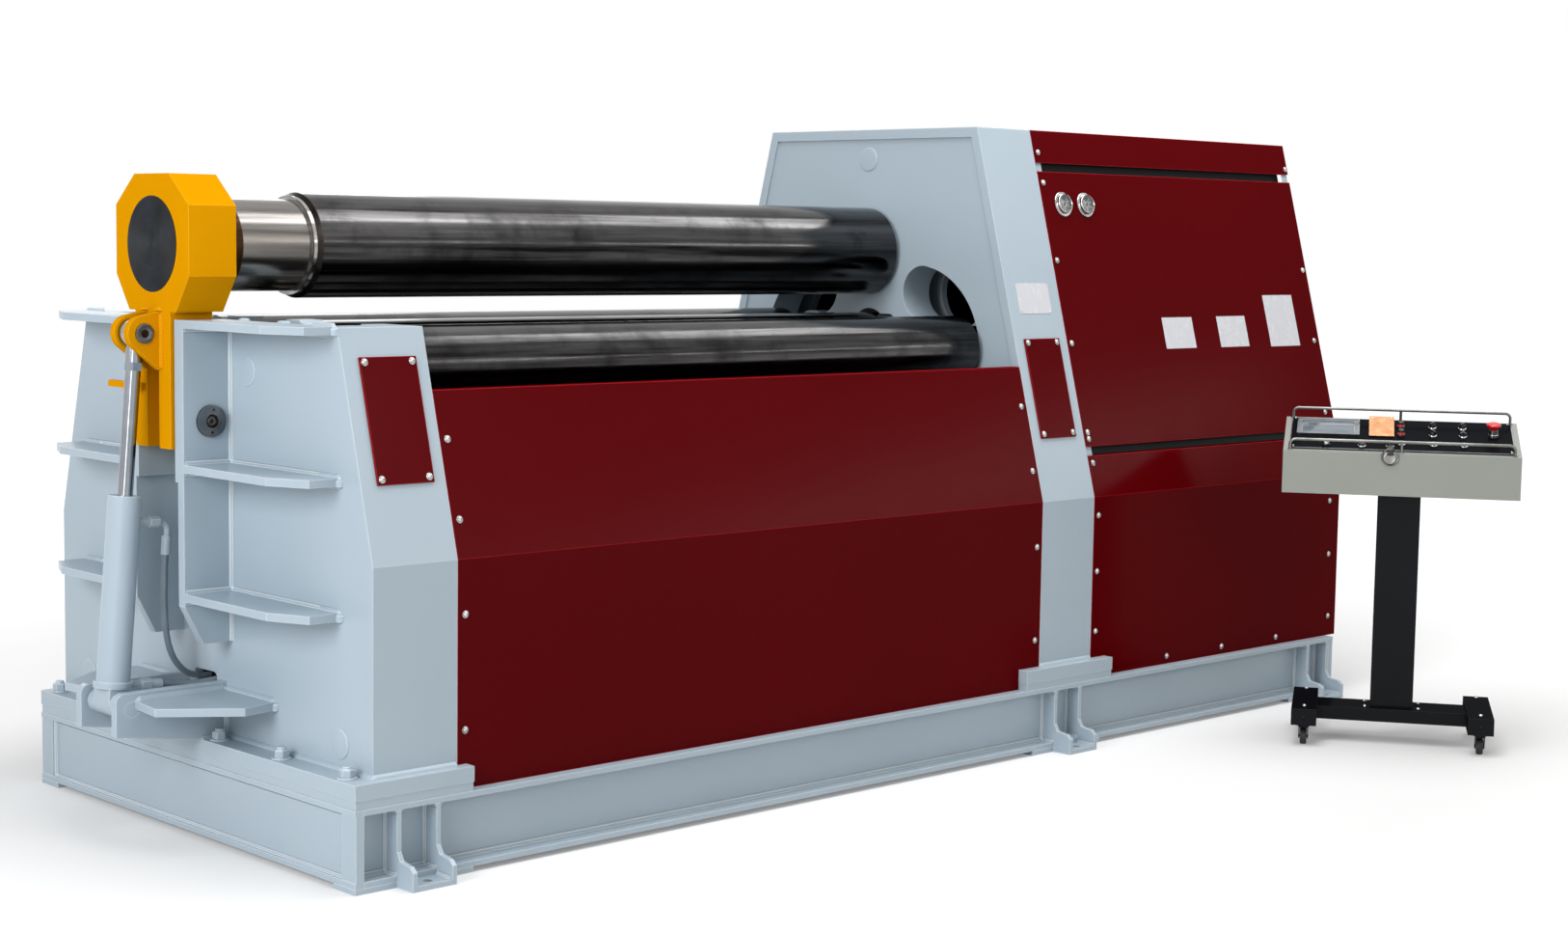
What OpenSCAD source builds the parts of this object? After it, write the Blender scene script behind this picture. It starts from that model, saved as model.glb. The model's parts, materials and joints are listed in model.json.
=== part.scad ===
// Hydraulic four-roll plate bending machine with a drop end and a mobile control desk.
// X runs along the rolls from the drop end to the drive end, Y from front to back, Z up.
// The origin is on the floor under the roll plane, midway between the four outer anchor bolts.

/* [Base] */
// Height of the base beams, floor to the top of the flange
beam_h = 198; // [180:2:240]
// Width of the flanges of the base beams
flange_w = 110; // [90:2:130]
// Thickness of the flanges of the base beams
flange_t = 14; // [10:1:18]
// Thickness of the pads and foot plates under the beams
pad_t = 14; // [10:1:20]
// How far the base stands out in front of the frames
front_ledge = 33; // [25:1:60]
// How far the base stands out behind the frames
rear_ledge = 5; // [0:1:60]
// Distance from the roll plane to the anchor bolts
anchor_y = 812; // [805:1:850]
// Diameter of the anchor bolt holes
anchor_d = 26; // [18:1:32]
// Distance from the left end of the base to the first foot
foot_left = 178; // [160:1:200]
// Width of a foot over its two gussets
foot_w = 124; // [100:2:150]
// Thickness of the lower layer under the frames
shim_t = 22; // [16:1:30]
// Thickness of the sole plate of a frame
sole_t = 38; // [30:1:46]

/* [Frames] */
// Distance from the left end of the base to the left frame
left_in = 71; // [60:1:90]
// Thickness of both frames along the rolls
frame_t = 240; // [230:2:290]
// Clear distance between the two frames
roll_space = 2136; // [1780:2:2600]
// Half the depth of the frames below the bend
frame_half = 745; // [735:1:780]
// Height where the front and rear faces start to lean inward
bend_z = 753; // [700:1:800]
// Angle by which the faces lean inward
lean = 14.9; // [13:0.1:16]
// Height of the top of the left frame
left_top = 1301; // [1290:1:1308]
// Height of the top of the drive frame and of the cabinet
drive_top = 1866; // [1800:1:2200]
// Thickness of the band round the edge of a frame
band_t = 30; // [20:1:36]
// Thickness of the roll side plate of the left frame
inner_t = 60; // [40:1:66]
// Thickness of the roll side plate of the drive frame
drive_inner_t = 120; // [100:2:124]
// Thickness of the frame plates on the far side
outer_t = 25; // [20:1:30]
// Depth by which the roll side plates are set back in the band
recess = 8; // [4:1:14]
// Height of the red cover plates on the leaning faces
cover_z = 936; // [900:1:950]

/* [Rolls] */
// Height of the top roll axis
top_z = 1486; // [1480:1:1500]
// Diameter of the top roll
top_d = 270; // [225:1:280]
// Diameter of the top roll journal at the drop end
top_journal_d = 234; // [195:1:240]
// Height of the bottom roll axis when lowered
bottom_z = 1178; // [1172:1:1182]
// Diameter of the bottom roll
bottom_d = 230; // [190:1:240]
// Lift of the bottom roll
bottom_lift = 50; // [30:1:55]
// Diameter of the side rolls
side_d = 204; // [170:1:212]
// Diameter of the journals of the lower three rolls
journal_d = 140; // [110:1:148]
// Diameter of the top roll journal in the drive frame
drive_journal_d = 200; // [170:1:220]
// Distance from the roll plane to the swing pins of the side rolls
swing_y = 206; // [200:1:215]
// Height of the swing pins of the side rolls
swing_z = 1180; // [1176:1:1184]
// Distance from a swing pin to its side roll
swing_r = 182; // [178:1:186]
// Angle of the swing arms above the horizontal when lowered
swing_rest = 4; // [2:0.5:6]
// Swing of the side rolls from lowered to raised
swing_travel = 79; // [60:1:80]
// Diameter of the swing pins
swing_pin_d = 70; // [56:1:80]
// Radius of the curved slot round the path of a side roll
slot_r = 82; // [80:1:84]
// Gap between a roll barrel and a frame
barrel_gap = 8; // [6:0.5:12]

/* [Drop end] */
// Depth of the bearing head along the rolls
head_t = 130; // [115:1:140]
// Half the width of the bearing head
head_half = 176; // [160:1:190]
// Height of the bearing head from its lower edge to its top
head_h = 336; // [320:1:380]
// Distance of the hinge from the left frame
hinge_in = 58; // [54:1:64]
// Height of the hinge of the drop end
hinge_z = 1055; // [1050:1:1060]
// Diameter of the hinge pin
hinge_d = 60; // [50:1:66]
// Half the width of the stem that swings between the ribs
stem_half = 84; // [76:1:86]
// Clearance between the stem and the ribs
stem_gap = 6; // [5:0.5:8]
// Radius of the spherical nose of the top roll
nose_r = 88; // [74:1:92]
// Diameter of the turned disc that closes the bearing head
cap_d = 236; // [200:1:246]
// Distance from the left frame out to the edge of the ribs
rib_out = 133; // [120:1:136]
// Thickness of the ribs and the stiffening shelves
shelf_t = 20; // [16:1:24]

/* [Tilt cylinder] */
// Distance from the left frame to the lower pivot of the cylinder
cyl_out = 262; // [255:1:266]
// Height of the lower pivot of the cylinder
cyl_z = 357; // [353:1:361]
// Distance from the left frame to the clevis pin
clevis_out = 188; // [184:1:192]
// Height of the clevis pin
clevis_z = 1268; // [1264:1:1272]
// Diameter of the cylinder barrel
barrel_d = 82; // [70:1:92]
// Length of the cylinder from its lower pivot to the top of the barrel
barrel_l = 514; // [500:1:524]
// Stroke of the cylinder that tilts the drop end out
stroke = 290; // [289:1:300]
// Diameter of the piston rod
rod_d = 38; // [30:1:42]
// Diameter of the clevis pin
clevis_d = 48; // [40:1:54]
// Clear width between the two lugs of the clevis
clevis_w = 44; // [40:1:50]
// Thickness of a lug of the clevis
lug_t = 22; // [18:1:26]

/* [Covers] */
// Thickness of the red sheet panels
sheet_t = 4; // [3:0.5:6]
// Length of the hydraulic cabinet
cabinet_l = 1320; // [1100:5:1600]
// How far the cabinet hangs over the right end of the base
overhang = 57; // [20:1:80]
// Height of the top edge of the panels between the frames
panel_top = 1150; // [1100:1:1160]
// Height of the hood strip along the top of the cabinet
hood_h = 100; // [80:1:130]
// Height of the vent gaps in the front of the cabinet
vent_h = 27; // [20:1:36]
// Height of the lower edge of the sloping cabinet panel
door_z = 903; // [880:1:940]
// Diameter of the pressure gauges
gauge_d = 78; // [60:1:90]
// Height of the pressure gauges
gauge_z = 1640; // [1500:1:1660]

/* [Control desk] */
// Distance of the desk post from the origin along the machine
desk_x = 1413; // [1300:1:1600]
// Distance of the desk post in front of the roll plane
desk_y = 1338; // [1330:1:1500]
// Angle by which the desk is turned
desk_turn = -56.8; // [-70:0.1:-40]
// Width of the desk box
desk_w = 704; // [640:2:780]
// Depth of the desk box
desk_d = 332; // [300:2:400]
// Height of the underside of the desk box
desk_z = 770; // [700:5:900]
// Height of the front of the desk box
desk_front = 130; // [110:2:160]
// Height of the back of the desk box
desk_back = 210; // [180:2:260]
// Width of the desk post
post_w = 127; // [100:1:150]
// Depth of the desk post
post_d = 90; // [70:1:120]
// Distance between the two feet of the desk
desk_feet = 522; // [460:2:600]
// Length of a foot of the desk
desk_foot_l = 380; // [320:2:440]
// Diameter of the castor wheels
wheel_d = 50; // [44:1:54]

/* [Hidden] */
$fn = 96;
pin_gap = 0.05;
fit = 0.3;
// Film of paint under the plates that are screwed to the leaning faces
film = 0.02;
slope = tan(lean);
// Webs of the beams, gussets of the feet, and flanges of the two end beams
web_t = 12;
end_w = 25;
end_post = 60;
cross_w = 100;
pad_l = 95;
pad_w = flange_w - 20;
foot_reach = anchor_y + 31;
drive_in = left_in + frame_t + roll_space;
base_l = drive_in + frame_t + cabinet_l - overhang;
foot_right = base_l - foot_w / 2 - end_w - 1;
origin_x = (foot_left + foot_right) / 2;
// Places along the machine, from the origin
x_end = -origin_x;
x_left = x_end + left_in;
x_inner = x_left + frame_t;
x_drive = x_end + drive_in;
x_cab = x_drive + frame_t;
x_cab_end = x_cab + cabinet_l;
x_right = x_end + base_l;
foot_xs = [x_end + foot_left, x_drive + 100, x_end + foot_right];
y_front = -(frame_half + front_ledge);
y_rear = frame_half + rear_ledge;
web_y = y_front + (flange_w - web_t) / 2;
sole_z = beam_h + shim_t + sole_t;
// How far the sole plates stand out beyond the frames along the machine
left_sole_in = 27;
drive_sole_in = 91;
drive_sole_out = 68;
// Inside faces of the two frames' plates
x_left_cav = [x_left + outer_t, x_inner - recess - inner_t];
x_drive_cav = [x_drive + recess + drive_inner_t, x_cab - outer_t];
barrel_x = [x_inner + barrel_gap, x_drive - barrel_gap + recess];
top_barrel_x = barrel_x[0] + 6;
collar = 10;
// Swing arms and bearing blocks inside the left and the drive frame
arm_ts = [90, 60];
arm_x = [x_left_cav[1] - arm_ts[0] - 6, x_drive_cav[0] + 6];
arm_boss_r = 92;
block_half = 112;
top_open = 500;
roll_y = -swing_y - swing_r * cos(swing_rest);
roll_z = swing_z + swing_r * sin(swing_rest);
ram_d = 50;
ram_z = 760;
x_head = [x_left - 11 - head_t, x_left - 11];
x_hinge = x_left - hinge_in;
head_z0 = top_z - head_h / 2 + 4;
head_z1 = head_z0 + head_h;
rib_in = stem_half + stem_gap;
x_rib = x_left - rib_out;
x_clevis = x_left - clevis_out;
x_cyl = x_left - cyl_out;
cyl_tilt = atan2(x_clevis - x_cyl, clevis_z - cyl_z);
cyl_len = sqrt(pow(x_clevis - x_cyl, 2) + pow(clevis_z - cyl_z, 2));
bore_z = 58;
rod_z = bore_z + 4 + stroke;
eye_half = clevis_w / 2 - 1;
eye_d = 72;
channel_half = 30;
channel_d = 52;
trunnion_d = 40;
trunnion_y = 76;
bracket_t = 24;
// Stop tab across the outside of the stem
tab_t = 14;
tab_z = 1134;
// Ports of the cylinder, from its lower pivot along its axis
ports = [45, 450];
hose_d = 16;
// Hole in the left frame for the hoses: half the distance between its round ends, its height
// and its radius
hose_hole = [40, 397, 15];
// Routes of the two hoses from their fittings into that hole, from the outside of the frame
upper_route = [[-110.5, 0, 714.8], [-113, 0, 684], [-114, 0, 656], [-115, 0, 628],
    [-115, 0, 600], [-114, 0, 572], [-113, 1, 544], [-109, 2, 516], [-103, 4, 489],
    [-93, 7, 464], [-79, 11, 441], [-61, 17, 422], [-40, 24, 407], [-17, 30, 398],
    [8, 34, 393], [34, 37, 391]];
lower_route = [[-126.7, 0, 391.15], [-102, 0, 389.15], [-82, -4, 387], [-63, -11, 386],
    [-44, -19, 386], [-25, -27, 388], [-6, -35, 391], [14, -42, 394], [34, -46, 396]];
shelf_zs = [left_top + 2, 950, 632];
shelf_ends = [-590, -612, -612];
// Cabinet covers, and how far the upper ones stand out at the right end
cover_t = 30;
upper_out = 22;
cab_in = cover_t + fit;
gauge_xs = [98, 206];
// Control desk, drawn about its post
desk_y0 = -100;
desk_slope = atan2(desk_back - desk_front, desk_d);
desk_top_l = sqrt(pow(desk_d, 2) + pow(desk_back - desk_front, 2));
desk_foot_h = 51;
desk_foot_w = 76;
castor_h = 66;
castor_spots = [for (s = [-1, 1]) for (t = [-1, 1])
    [s * desk_feet / 2, t * (desk_foot_l - desk_foot_w) / 2]];
wheel_z = wheel_d / 2;
wheel_trail = 12;
axle_d = 8;
blue = "#b0c1ce";
red = "#6e0a10";
amber = "#f0a800";
roll_steel = "#3a3a3c";
bright = "#c8c8c8";
black = "#1c1c1e";

// Half the depth of a frame at a height
function half_at(z) = frame_half - max(0, z - bend_z) * slope;

// Thickens an outline drawn in Y and Z along X, from x over a length
module along_x(x, length) {
    translate([x, 0, 0]) rotate([90, 0, 90]) linear_extrude(length) children();
}

// Thickens an outline drawn in X and Z along Y, from y over a width
module along_y(y, width) {
    translate([0, y + width, 0]) rotate([90, 0, 0]) linear_extrude(width) children();
}

// A round bar along X
module bar_x(x, length, d) {
    translate([x, 0, 0]) rotate([0, 90, 0]) cylinder(h = length, d = d);
}

// A round bar along Y
module bar_y(y, length, d) {
    translate([0, y, 0]) rotate([-90, 0, 0]) cylinder(h = length, d = d);
}

// A block between two corners
module block(a, b) {
    translate(a) cube(b - a);
}

// The piece and its mirror image behind the roll plane
module both_sides() {
    children();
    mirror([0, 1, 0]) children();
}

// Section of a base beam, standing on its pads, with its flanges centred on y
module beam_section(y) {
    translate([y - flange_w / 2, pad_t]) square([flange_w, flange_t]);
    translate([y - web_t / 2, pad_t]) square([web_t, beam_h - pad_t]);
    translate([y - flange_w / 2, beam_h - flange_t]) square([flange_w, flange_t]);
}

// Beam across the left end: two flanges, a web set back from the edge and a post at each corner
module end_beam() {
    along_y(y_front, y_rear - y_front) {
        translate([0, pad_t]) square([end_w, flange_t]);
        translate([end_w - web_t, pad_t]) square([web_t, beam_h - pad_t]);
        translate([0, beam_h - flange_t]) square([end_w, flange_t]);
    }
    for (y = [y_front, y_rear - end_post])
        block([2, y, pad_t], [end_w, y + end_post, beam_h]);
}

module base_side_beams() {
    color(blue) for (y = [y_front + flange_w / 2, y_rear - flange_w / 2])
        along_x(x_end + end_w, base_l - 2 * end_w) beam_section(y);
}

module base_end_beams() {
    color(blue) {
        translate([x_end, 0, 0]) end_beam();
        translate([x_right, 0, 0]) mirror([1, 0, 0]) end_beam();
    }
}

// Two beams across the base, under the drive frame and under the cabinet
module base_cross_beams() {
    y0 = y_front + flange_w;
    y1 = y_rear - flange_w;
    color(blue) for (x = [x_drive + frame_t / 2, x_cab + cabinet_l / 2])
        translate([x, 0, 0]) along_y(y0, y1 - y0) {
            translate([-cross_w / 2, pad_t]) square([cross_w, flange_t]);
            translate([-web_t / 2, pad_t]) square([web_t, beam_h - pad_t]);
            translate([-cross_w / 2, beam_h - flange_t]) square([cross_w, flange_t]);
        }
}

// Outline of a foot gusset in Y and Z, for a beam whose outer edge is at -edge
module gusset_outline(edge) {
    web = edge - (flange_w - web_t) / 2;
    polygon([[-web, pad_t + flange_t], [-web, beam_h - flange_t], [-edge, beam_h - flange_t],
        [-edge, 84], [-edge - 12, 64], [-foot_reach + 14, 58], [-foot_reach, 46],
        [-foot_reach, 0], [-edge, 0], [-edge, pad_t + flange_t]]);
}

// One foot: a plate with the anchor hole between two gussets, and the pads beside it
module foot(edge) {
    for (x = [-foot_w / 2, foot_w / 2 - web_t])
        along_x(x, web_t) gusset_outline(edge);
    difference() {
        block([-foot_w / 2, -foot_reach, 0], [foot_w / 2, -edge + pad_w, pad_t]);
        translate([0, -anchor_y, -1]) cylinder(h = pad_t + 2, d = anchor_d);
    }
}

// Three feet of one side, with pads along the beam on both sides of each foot
module foot_row(edge) {
    reach = foot_w / 2 + pad_l;
    for (x = foot_xs) {
        translate([x, 0, 0]) foot(edge);
        block([max(x - reach, x_end), -edge, 0],
            [min(x + reach, x_right), -edge + pad_w, pad_t]);
    }
    block([x_end, -edge, 0], [foot_xs[0], -edge + pad_w, pad_t]);
}

module feet() {
    color(blue) {
        foot_row(-y_front);
        mirror([0, 1, 0]) foot_row(y_rear);
    }
}

// Sole plate of a frame with the slightly smaller layer under it
module sole(x0, x1) {
    block([x0, y_front, beam_h + shim_t], [x1, y_rear, sole_z]);
    block([x0 + 2, y_front + 2, beam_h], [x1 - 2, y_rear - 2, beam_h + shim_t + 1]);
}

module sole_plates() {
    color(blue) {
        sole(x_end, x_inner + left_sole_in);
        sole(x_drive - drive_sole_in, x_cab + drive_sole_out);
    }
}

// Outline of a frame in Y and Z up to a height, drawn smaller by inset
module frame_outline(top, inset = 0) {
    h = frame_half - inset / cos(lean / 2);
    t = half_at(top - inset) - inset / cos(lean);
    b = bend_z;
    z0 = sole_z + inset;
    polygon([[-h, z0], [-h, b], [-t, top - inset], [t, top - inset], [h, b], [h, z0]]);
}

// Ring sector round the front swing pin that a side roll sweeps, of a half width
module swing_slot(r) {
    a0 = swing_rest - 4;
    a1 = swing_rest + swing_travel;
    translate([-swing_y, swing_z]) {
        difference() {
            circle(r = swing_r + r);
            circle(r = swing_r - r);
            polygon([[0, 0], 600 * [-cos(a0), sin(a0)], [-600, -600], [600, -600], [600, 600],
                600 * [-cos(a1), sin(a1)]]);
        }
        for (a = [a0, a1]) rotate(180 - a) translate([swing_r, 0]) circle(r = r + 1);
    }
}

// Slots of both side rolls, of a half width
module swing_slots(r) {
    swing_slot(r);
    mirror([1, 0]) swing_slot(r);
}

// Slots in the roll side plate; that of the bottom roll is wider where its block shows
module roll_slots(bottom_up) {
    r = journal_d / 2 + 8;
    half = block_half - 4;
    h = 152 + bottom_up;
    corner = 20;
    swing_slots(slot_r);
    translate([-r, bottom_z]) square([2 * r, bottom_lift + bottom_up]);
    for (z = [bottom_z, bottom_z + bottom_lift + bottom_up])
        translate([0, z]) circle(r = r);
    translate([0, bottom_z - 40]) {
        translate([-half, 0]) square([2 * half, h - corner]);
        translate([corner - half, 0]) square([2 * (half - corner), h]);
        for (s = [-1, 1]) translate([s * (half - corner), h - corner]) circle(r = corner);
    }
}

// Box of plates: band round the edge, thick plate on the roll side, thin one on the far side
module frame_box(top, up, inner) {
    difference() {
        along_x(0, frame_t) frame_outline(top);
        along_x(outer_t, frame_t - outer_t - inner - recess) frame_outline(top, band_t);
        along_x(frame_t - recess, recess + 1) frame_outline(top, band_t);
        along_x(outer_t, frame_t) roll_slots(up);
        for (s = [-1, 1]) translate([0, s * swing_y, swing_z])
            bar_x(-1, frame_t + 2, swing_pin_d + 2 * fit);
    }
}

module left_frame() {
    color(blue) difference() {
        translate([x_left, 0, 0]) frame_box(left_top, left_top - bottom_z, inner_t);
        // Opening in the top for the raised arms
        block([x_left_cav[0], -top_open, left_top - band_t - 1],
            [x_left_cav[1], top_open, left_top + 1]);
        // Slot for the foot of the drop end
        block([x_left - 1, -rib_in, hinge_z - 120], [x_left_cav[0] + 1, rib_in, left_top + 1]);
        // Hole for the hoses
        along_x(x_left - 1, outer_t + 2) {
            translate([-hose_hole[0], hose_hole[1] - hose_hole[2]])
                square([2 * hose_hole[0], 2 * hose_hole[2]]);
            for (s = [-1, 1]) translate([s * hose_hole[0], hose_hole[1]])
                circle(r = hose_hole[2]);
        }
    }
}

module drive_frame() {
    color(blue) difference() {
        translate([x_cab, 0, 0]) mirror([1, 0, 0]) frame_box(drive_top, 0, drive_inner_t);
        // Wider slots in the plate on the cabinet side
        along_x(x_drive_cav[1] - 1, outer_t + 2) swing_slots(slot_r + 26);
        translate([0, 0, top_z]) bar_x(x_drive - 1, frame_t + 2, drive_journal_d + 2 * pin_gap);
    }
}

// Upright rib beside the slot of the drop end, thicker where the stem runs
module upright() {
    low = 503;
    outline = [[x_left, low], [x_left - 82, low], [x_rib, low + 97],
        [x_rib, left_top + 2], [x_left, left_top + 2]];
    intersection() {
        along_y(-rib_in - 40, 40) polygon(outline);
        union() {
            block([x_rib - 1, -rib_in - 40, 0], [x_left + 1, -rib_in - 13, 2000]);
            block([x_rib - 1, -rib_in - 40, 905], [x_left + 1, -rib_in, 2000]);
        }
    }
}

// Shelf of the left frame seen from above, with its outer corner cut off
module shelf(z, end) {
    translate([0, 0, z - shelf_t]) linear_extrude(shelf_t)
        polygon([[x_left, -rib_in - 20], [x_rib, -rib_in - 20], [x_rib, end + 110],
            [x_rib + 47, end], [x_left, end]]);
}

module frame_ribs() {
    color(blue) both_sides() difference() {
        union() {
            upright();
            for (i = [0:2]) shelf(shelf_zs[i], shelf_ends[i]);
        }
        translate([x_hinge, 0, hinge_z]) bar_y(-rib_in - 50, 60, hinge_d + 2 * fit);
    }
}

// Bent sheet that follows the front faces between two heights
module bent_sheet(z0, z1) {
    polygon([[-half_at(z0), z0], [-half_at(bend_z), bend_z], [-half_at(z1), z1],
        [-half_at(z1) + sheet_t, z1], [-half_at(bend_z) + sheet_t, bend_z],
        [-half_at(z0) + sheet_t, z0]]);
}

module middle_panel() {
    edge = -half_at(panel_top);
    difference() {
        along_x(x_inner + fit, roll_space - 2 * fit) {
            bent_sheet(beam_h, panel_top);
            polygon([[edge, panel_top], [edge + 30, panel_top], [edge + 30, panel_top - sheet_t],
                [edge - sheet_t * slope, panel_top - sheet_t]]);
        }
        block([x_inner, -frame_half - 1, 0],
            [x_inner + left_sole_in + fit, -frame_half + 50, sole_z + fit]);
        block([x_drive - drive_sole_in - fit, -frame_half - 1, 0],
            [x_drive, -frame_half + 50, sole_z + fit]);
    }
}

module front_panel() {
    color(red) middle_panel();
}

module rear_panel() {
    color(red) mirror([0, 1, 0]) middle_panel();
}

// Four red plates screwed to the leaning faces of the frames
module cover_plates() {
    t = 5;
    color(red) both_sides() for (x = [x_left + 45, x_drive + 40])
        along_x(x, 160) translate([-half_at(cover_z), cover_z]) rotate(-lean)
            translate([-t - film, 0]) square([t, 305]);
}

// Outline of the cabinet in Y and Z up to a height, drawn smaller by inset
module cabinet_outline(z0, top, inset) {
    h = frame_half - inset;
    t = half_at(top) - inset;
    polygon([[-h, z0], [-h, bend_z], [-t, top], [t, top], [h, bend_z], [h, z0]]);
}

// Grey housing of the cabinet behind the covers, open towards the drive frame
module cabinet_frame() {
    wall = 30;
    color("#30343a") difference() {
        along_x(x_cab + fit, cabinet_l - sheet_t - 2 * fit)
            cabinet_outline(beam_h, drive_top - sheet_t - fit, cab_in);
        along_x(x_cab, cabinet_l - 60)
            cabinet_outline(beam_h + 12, drive_top - 40, cab_in + wall);
        block([x_cab, -frame_half, 0], [x_cab + drive_sole_out + fit, frame_half, sole_z + fit]);
    }
}

// Hood over the top of the cabinet, open below
module cabinet_hood() {
    z0 = drive_top - hood_h;
    color(red) difference() {
        along_x(x_cab, cabinet_l + upper_out) polygon([[-half_at(z0), z0],
            [-half_at(drive_top), drive_top], [half_at(drive_top), drive_top], [half_at(z0), z0]]);
        along_x(x_cab - 1, cabinet_l + upper_out - sheet_t + 1)
            cabinet_outline(z0 - 200, drive_top - sheet_t, sheet_t);
    }
}

// Sloping cover below the upper vent
module door() {
    z1 = drive_top - hood_h - vent_h;
    along_x(x_cab + 2, cabinet_l + upper_out - 2) polygon([[-half_at(door_z), door_z],
        [-half_at(z1), z1], [-half_at(z1) + cover_t, z1], [-half_at(door_z) + cover_t, door_z]]);
}

// Bent cover below the lower vent, cut out round the sole plate
module lower_cover() {
    z1 = door_z - vent_h;
    difference() {
        along_x(x_cab + 2, cabinet_l - 2) polygon([[-frame_half, beam_h],
            [-frame_half, bend_z], [-half_at(z1), z1], [-half_at(z1) + cover_t, z1],
            [-frame_half + cover_t, bend_z], [-frame_half + cover_t, beam_h]]);
        block([x_cab, -frame_half - 1, 0],
            [x_cab + drive_sole_out + 2, -frame_half + 50, sole_z + fit]);
    }
}

module cabinet_doors() {
    color(red) both_sides() door();
}

module cabinet_lower_covers() {
    color(red) both_sides() lower_cover();
}

module cabinet_end() {
    color(red) along_x(x_cab_end - sheet_t, sheet_t)
        cabinet_outline(beam_h, drive_top - hood_h, cab_in);
}

// Two pressure gauges set in the sloping cabinet panel
module pressure_gauges() {
    color(bright) for (x = gauge_xs)
        translate([x_cab + x, -half_at(gauge_z), gauge_z]) rotate([90 - lean, 0, 0])
            difference() {
                cylinder(h = 14, d = gauge_d);
                translate([0, 0, 9]) cylinder(h = 6, d = gauge_d - 10);
            }
}

// Fixed pins that the swing arms turn on
module swing_pins() {
    color(bright) for (s = [-1, 1]) translate([0, s * swing_y, swing_z]) {
        bar_x(x_left, frame_t - recess, swing_pin_d);
        bar_x(x_drive + recess, frame_t - recess, swing_pin_d);
    }
}

// Arm of the front side roll in Y and Z
module arm_outline() {
    translate([-swing_y, swing_z]) {
        circle(r = 60);
        rotate(180 - swing_rest) {
            polygon([[0, -58], [0, 58], [40, arm_boss_r], [swing_r, arm_boss_r],
                [swing_r, -58]]);
            translate([swing_r, 0]) circle(r = arm_boss_r);
        }
    }
}

module swing_arms() {
    difference() {
        for (i = [0, 1]) along_x(arm_x[i], arm_ts[i]) arm_outline();
        translate([0, -swing_y, swing_z])
            bar_x(x_left, x_cab - x_left, swing_pin_d + 2 * pin_gap);
        translate([0, roll_y, roll_z]) bar_x(x_left, x_cab - x_left, journal_d + 2 * pin_gap);
    }
}

module front_swing_arms() {
    color(blue) swing_arms();
}

module rear_swing_arms() {
    color(blue) mirror([0, 1, 0]) swing_arms();
}

// Bearing blocks of the bottom roll on the rams that lift them
module lift_blocks() {
    z0 = bottom_z - 105;
    color(roll_steel) difference() {
        for (i = [0, 1]) translate([arm_x[i], 0, 0]) {
            block([0, -block_half, z0], [arm_ts[i], block_half, bottom_z + 80]);
            translate([arm_ts[i] / 2, 0, ram_z]) cylinder(h = z0 - ram_z, d = ram_d);
        }
        translate([0, 0, bottom_z]) bar_x(x_left, x_cab - x_left, journal_d + 2 * pin_gap);
    }
}

// Lift cylinders that stand inside the frames
module lift_cylinders() {
    z0 = sole_z + band_t;
    color(roll_steel) for (i = [0, 1]) translate([arm_x[i] + arm_ts[i] / 2, 0, 0]) difference() {
        translate([0, 0, z0]) cylinder(h = ram_z + 200 - z0, d = arm_ts[i] + 8);
        translate([0, 0, ram_z - 20]) cylinder(h = 300, d = ram_d + 2 * pin_gap);
    }
}

// Roll barrel with rounded edges between two journals
module roll(d, x0, x1, j0, j1, jd) {
    r = d / 2;
    e = 12;
    rotate([0, 90, 0]) rotate_extrude() {
        polygon([[0, x0], [r - e, x0], [r, x0 + e], [r, x1 - e], [r - e, x1], [0, x1]]);
        polygon([[0, j0], [jd / 2, j0], [jd / 2, j1], [0, j1]]);
    }
}

// Top roll: ball nose in the bearing head, bright journal, collar, barrel, driven journal
module top_roll() {
    x1 = barrel_x[1];
    journal_x = x_head[1] + 30;
    color(roll_steel) translate([0, 0, top_z]) {
        roll(top_d, top_barrel_x, x1, x1 - 1, x_cab + 40, drive_journal_d);
        bar_x(journal_x, top_barrel_x - journal_x, top_journal_d);
        bar_x(x_hinge, journal_x + 1 - x_hinge, 150);
        translate([x_hinge, 0, 0]) rotate([0, 90, 0]) intersection() {
            sphere(r = nose_r);
            cylinder(h = 110, r = nose_r + 1, center = true);
        }
        bar_x(top_barrel_x - collar, collar + 1, top_journal_d + 20);
    }
}

module bottom_roll() {
    color(roll_steel) translate([0, 0, bottom_z])
        roll(bottom_d, barrel_x[0], barrel_x[1], arm_x[0], arm_x[1] + arm_ts[1], journal_d);
}

module side_roll() {
    translate([0, roll_y, roll_z])
        roll(side_d, barrel_x[0], barrel_x[1], arm_x[0], arm_x[1] + arm_ts[1], journal_d);
}

module front_side_roll() {
    color(roll_steel) side_roll();
}

module rear_side_roll() {
    color(roll_steel) mirror([0, 1, 0]) side_roll();
}

// Hinge pin with a round flange on the outside of each rib
module hinge_pin() {
    out = rib_in + 40;
    color(roll_steel) translate([x_hinge, 0, hinge_z]) {
        bar_y(-out, 2 * out, hinge_d);
        difference() {
            union() {
                bar_y(-out - 9, 9, 80);
                bar_y(out, 9, 80);
            }
            bar_y(-out - 10, 5, 34);
            bar_y(out + 5, 5, 34);
        }
    }
}

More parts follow.
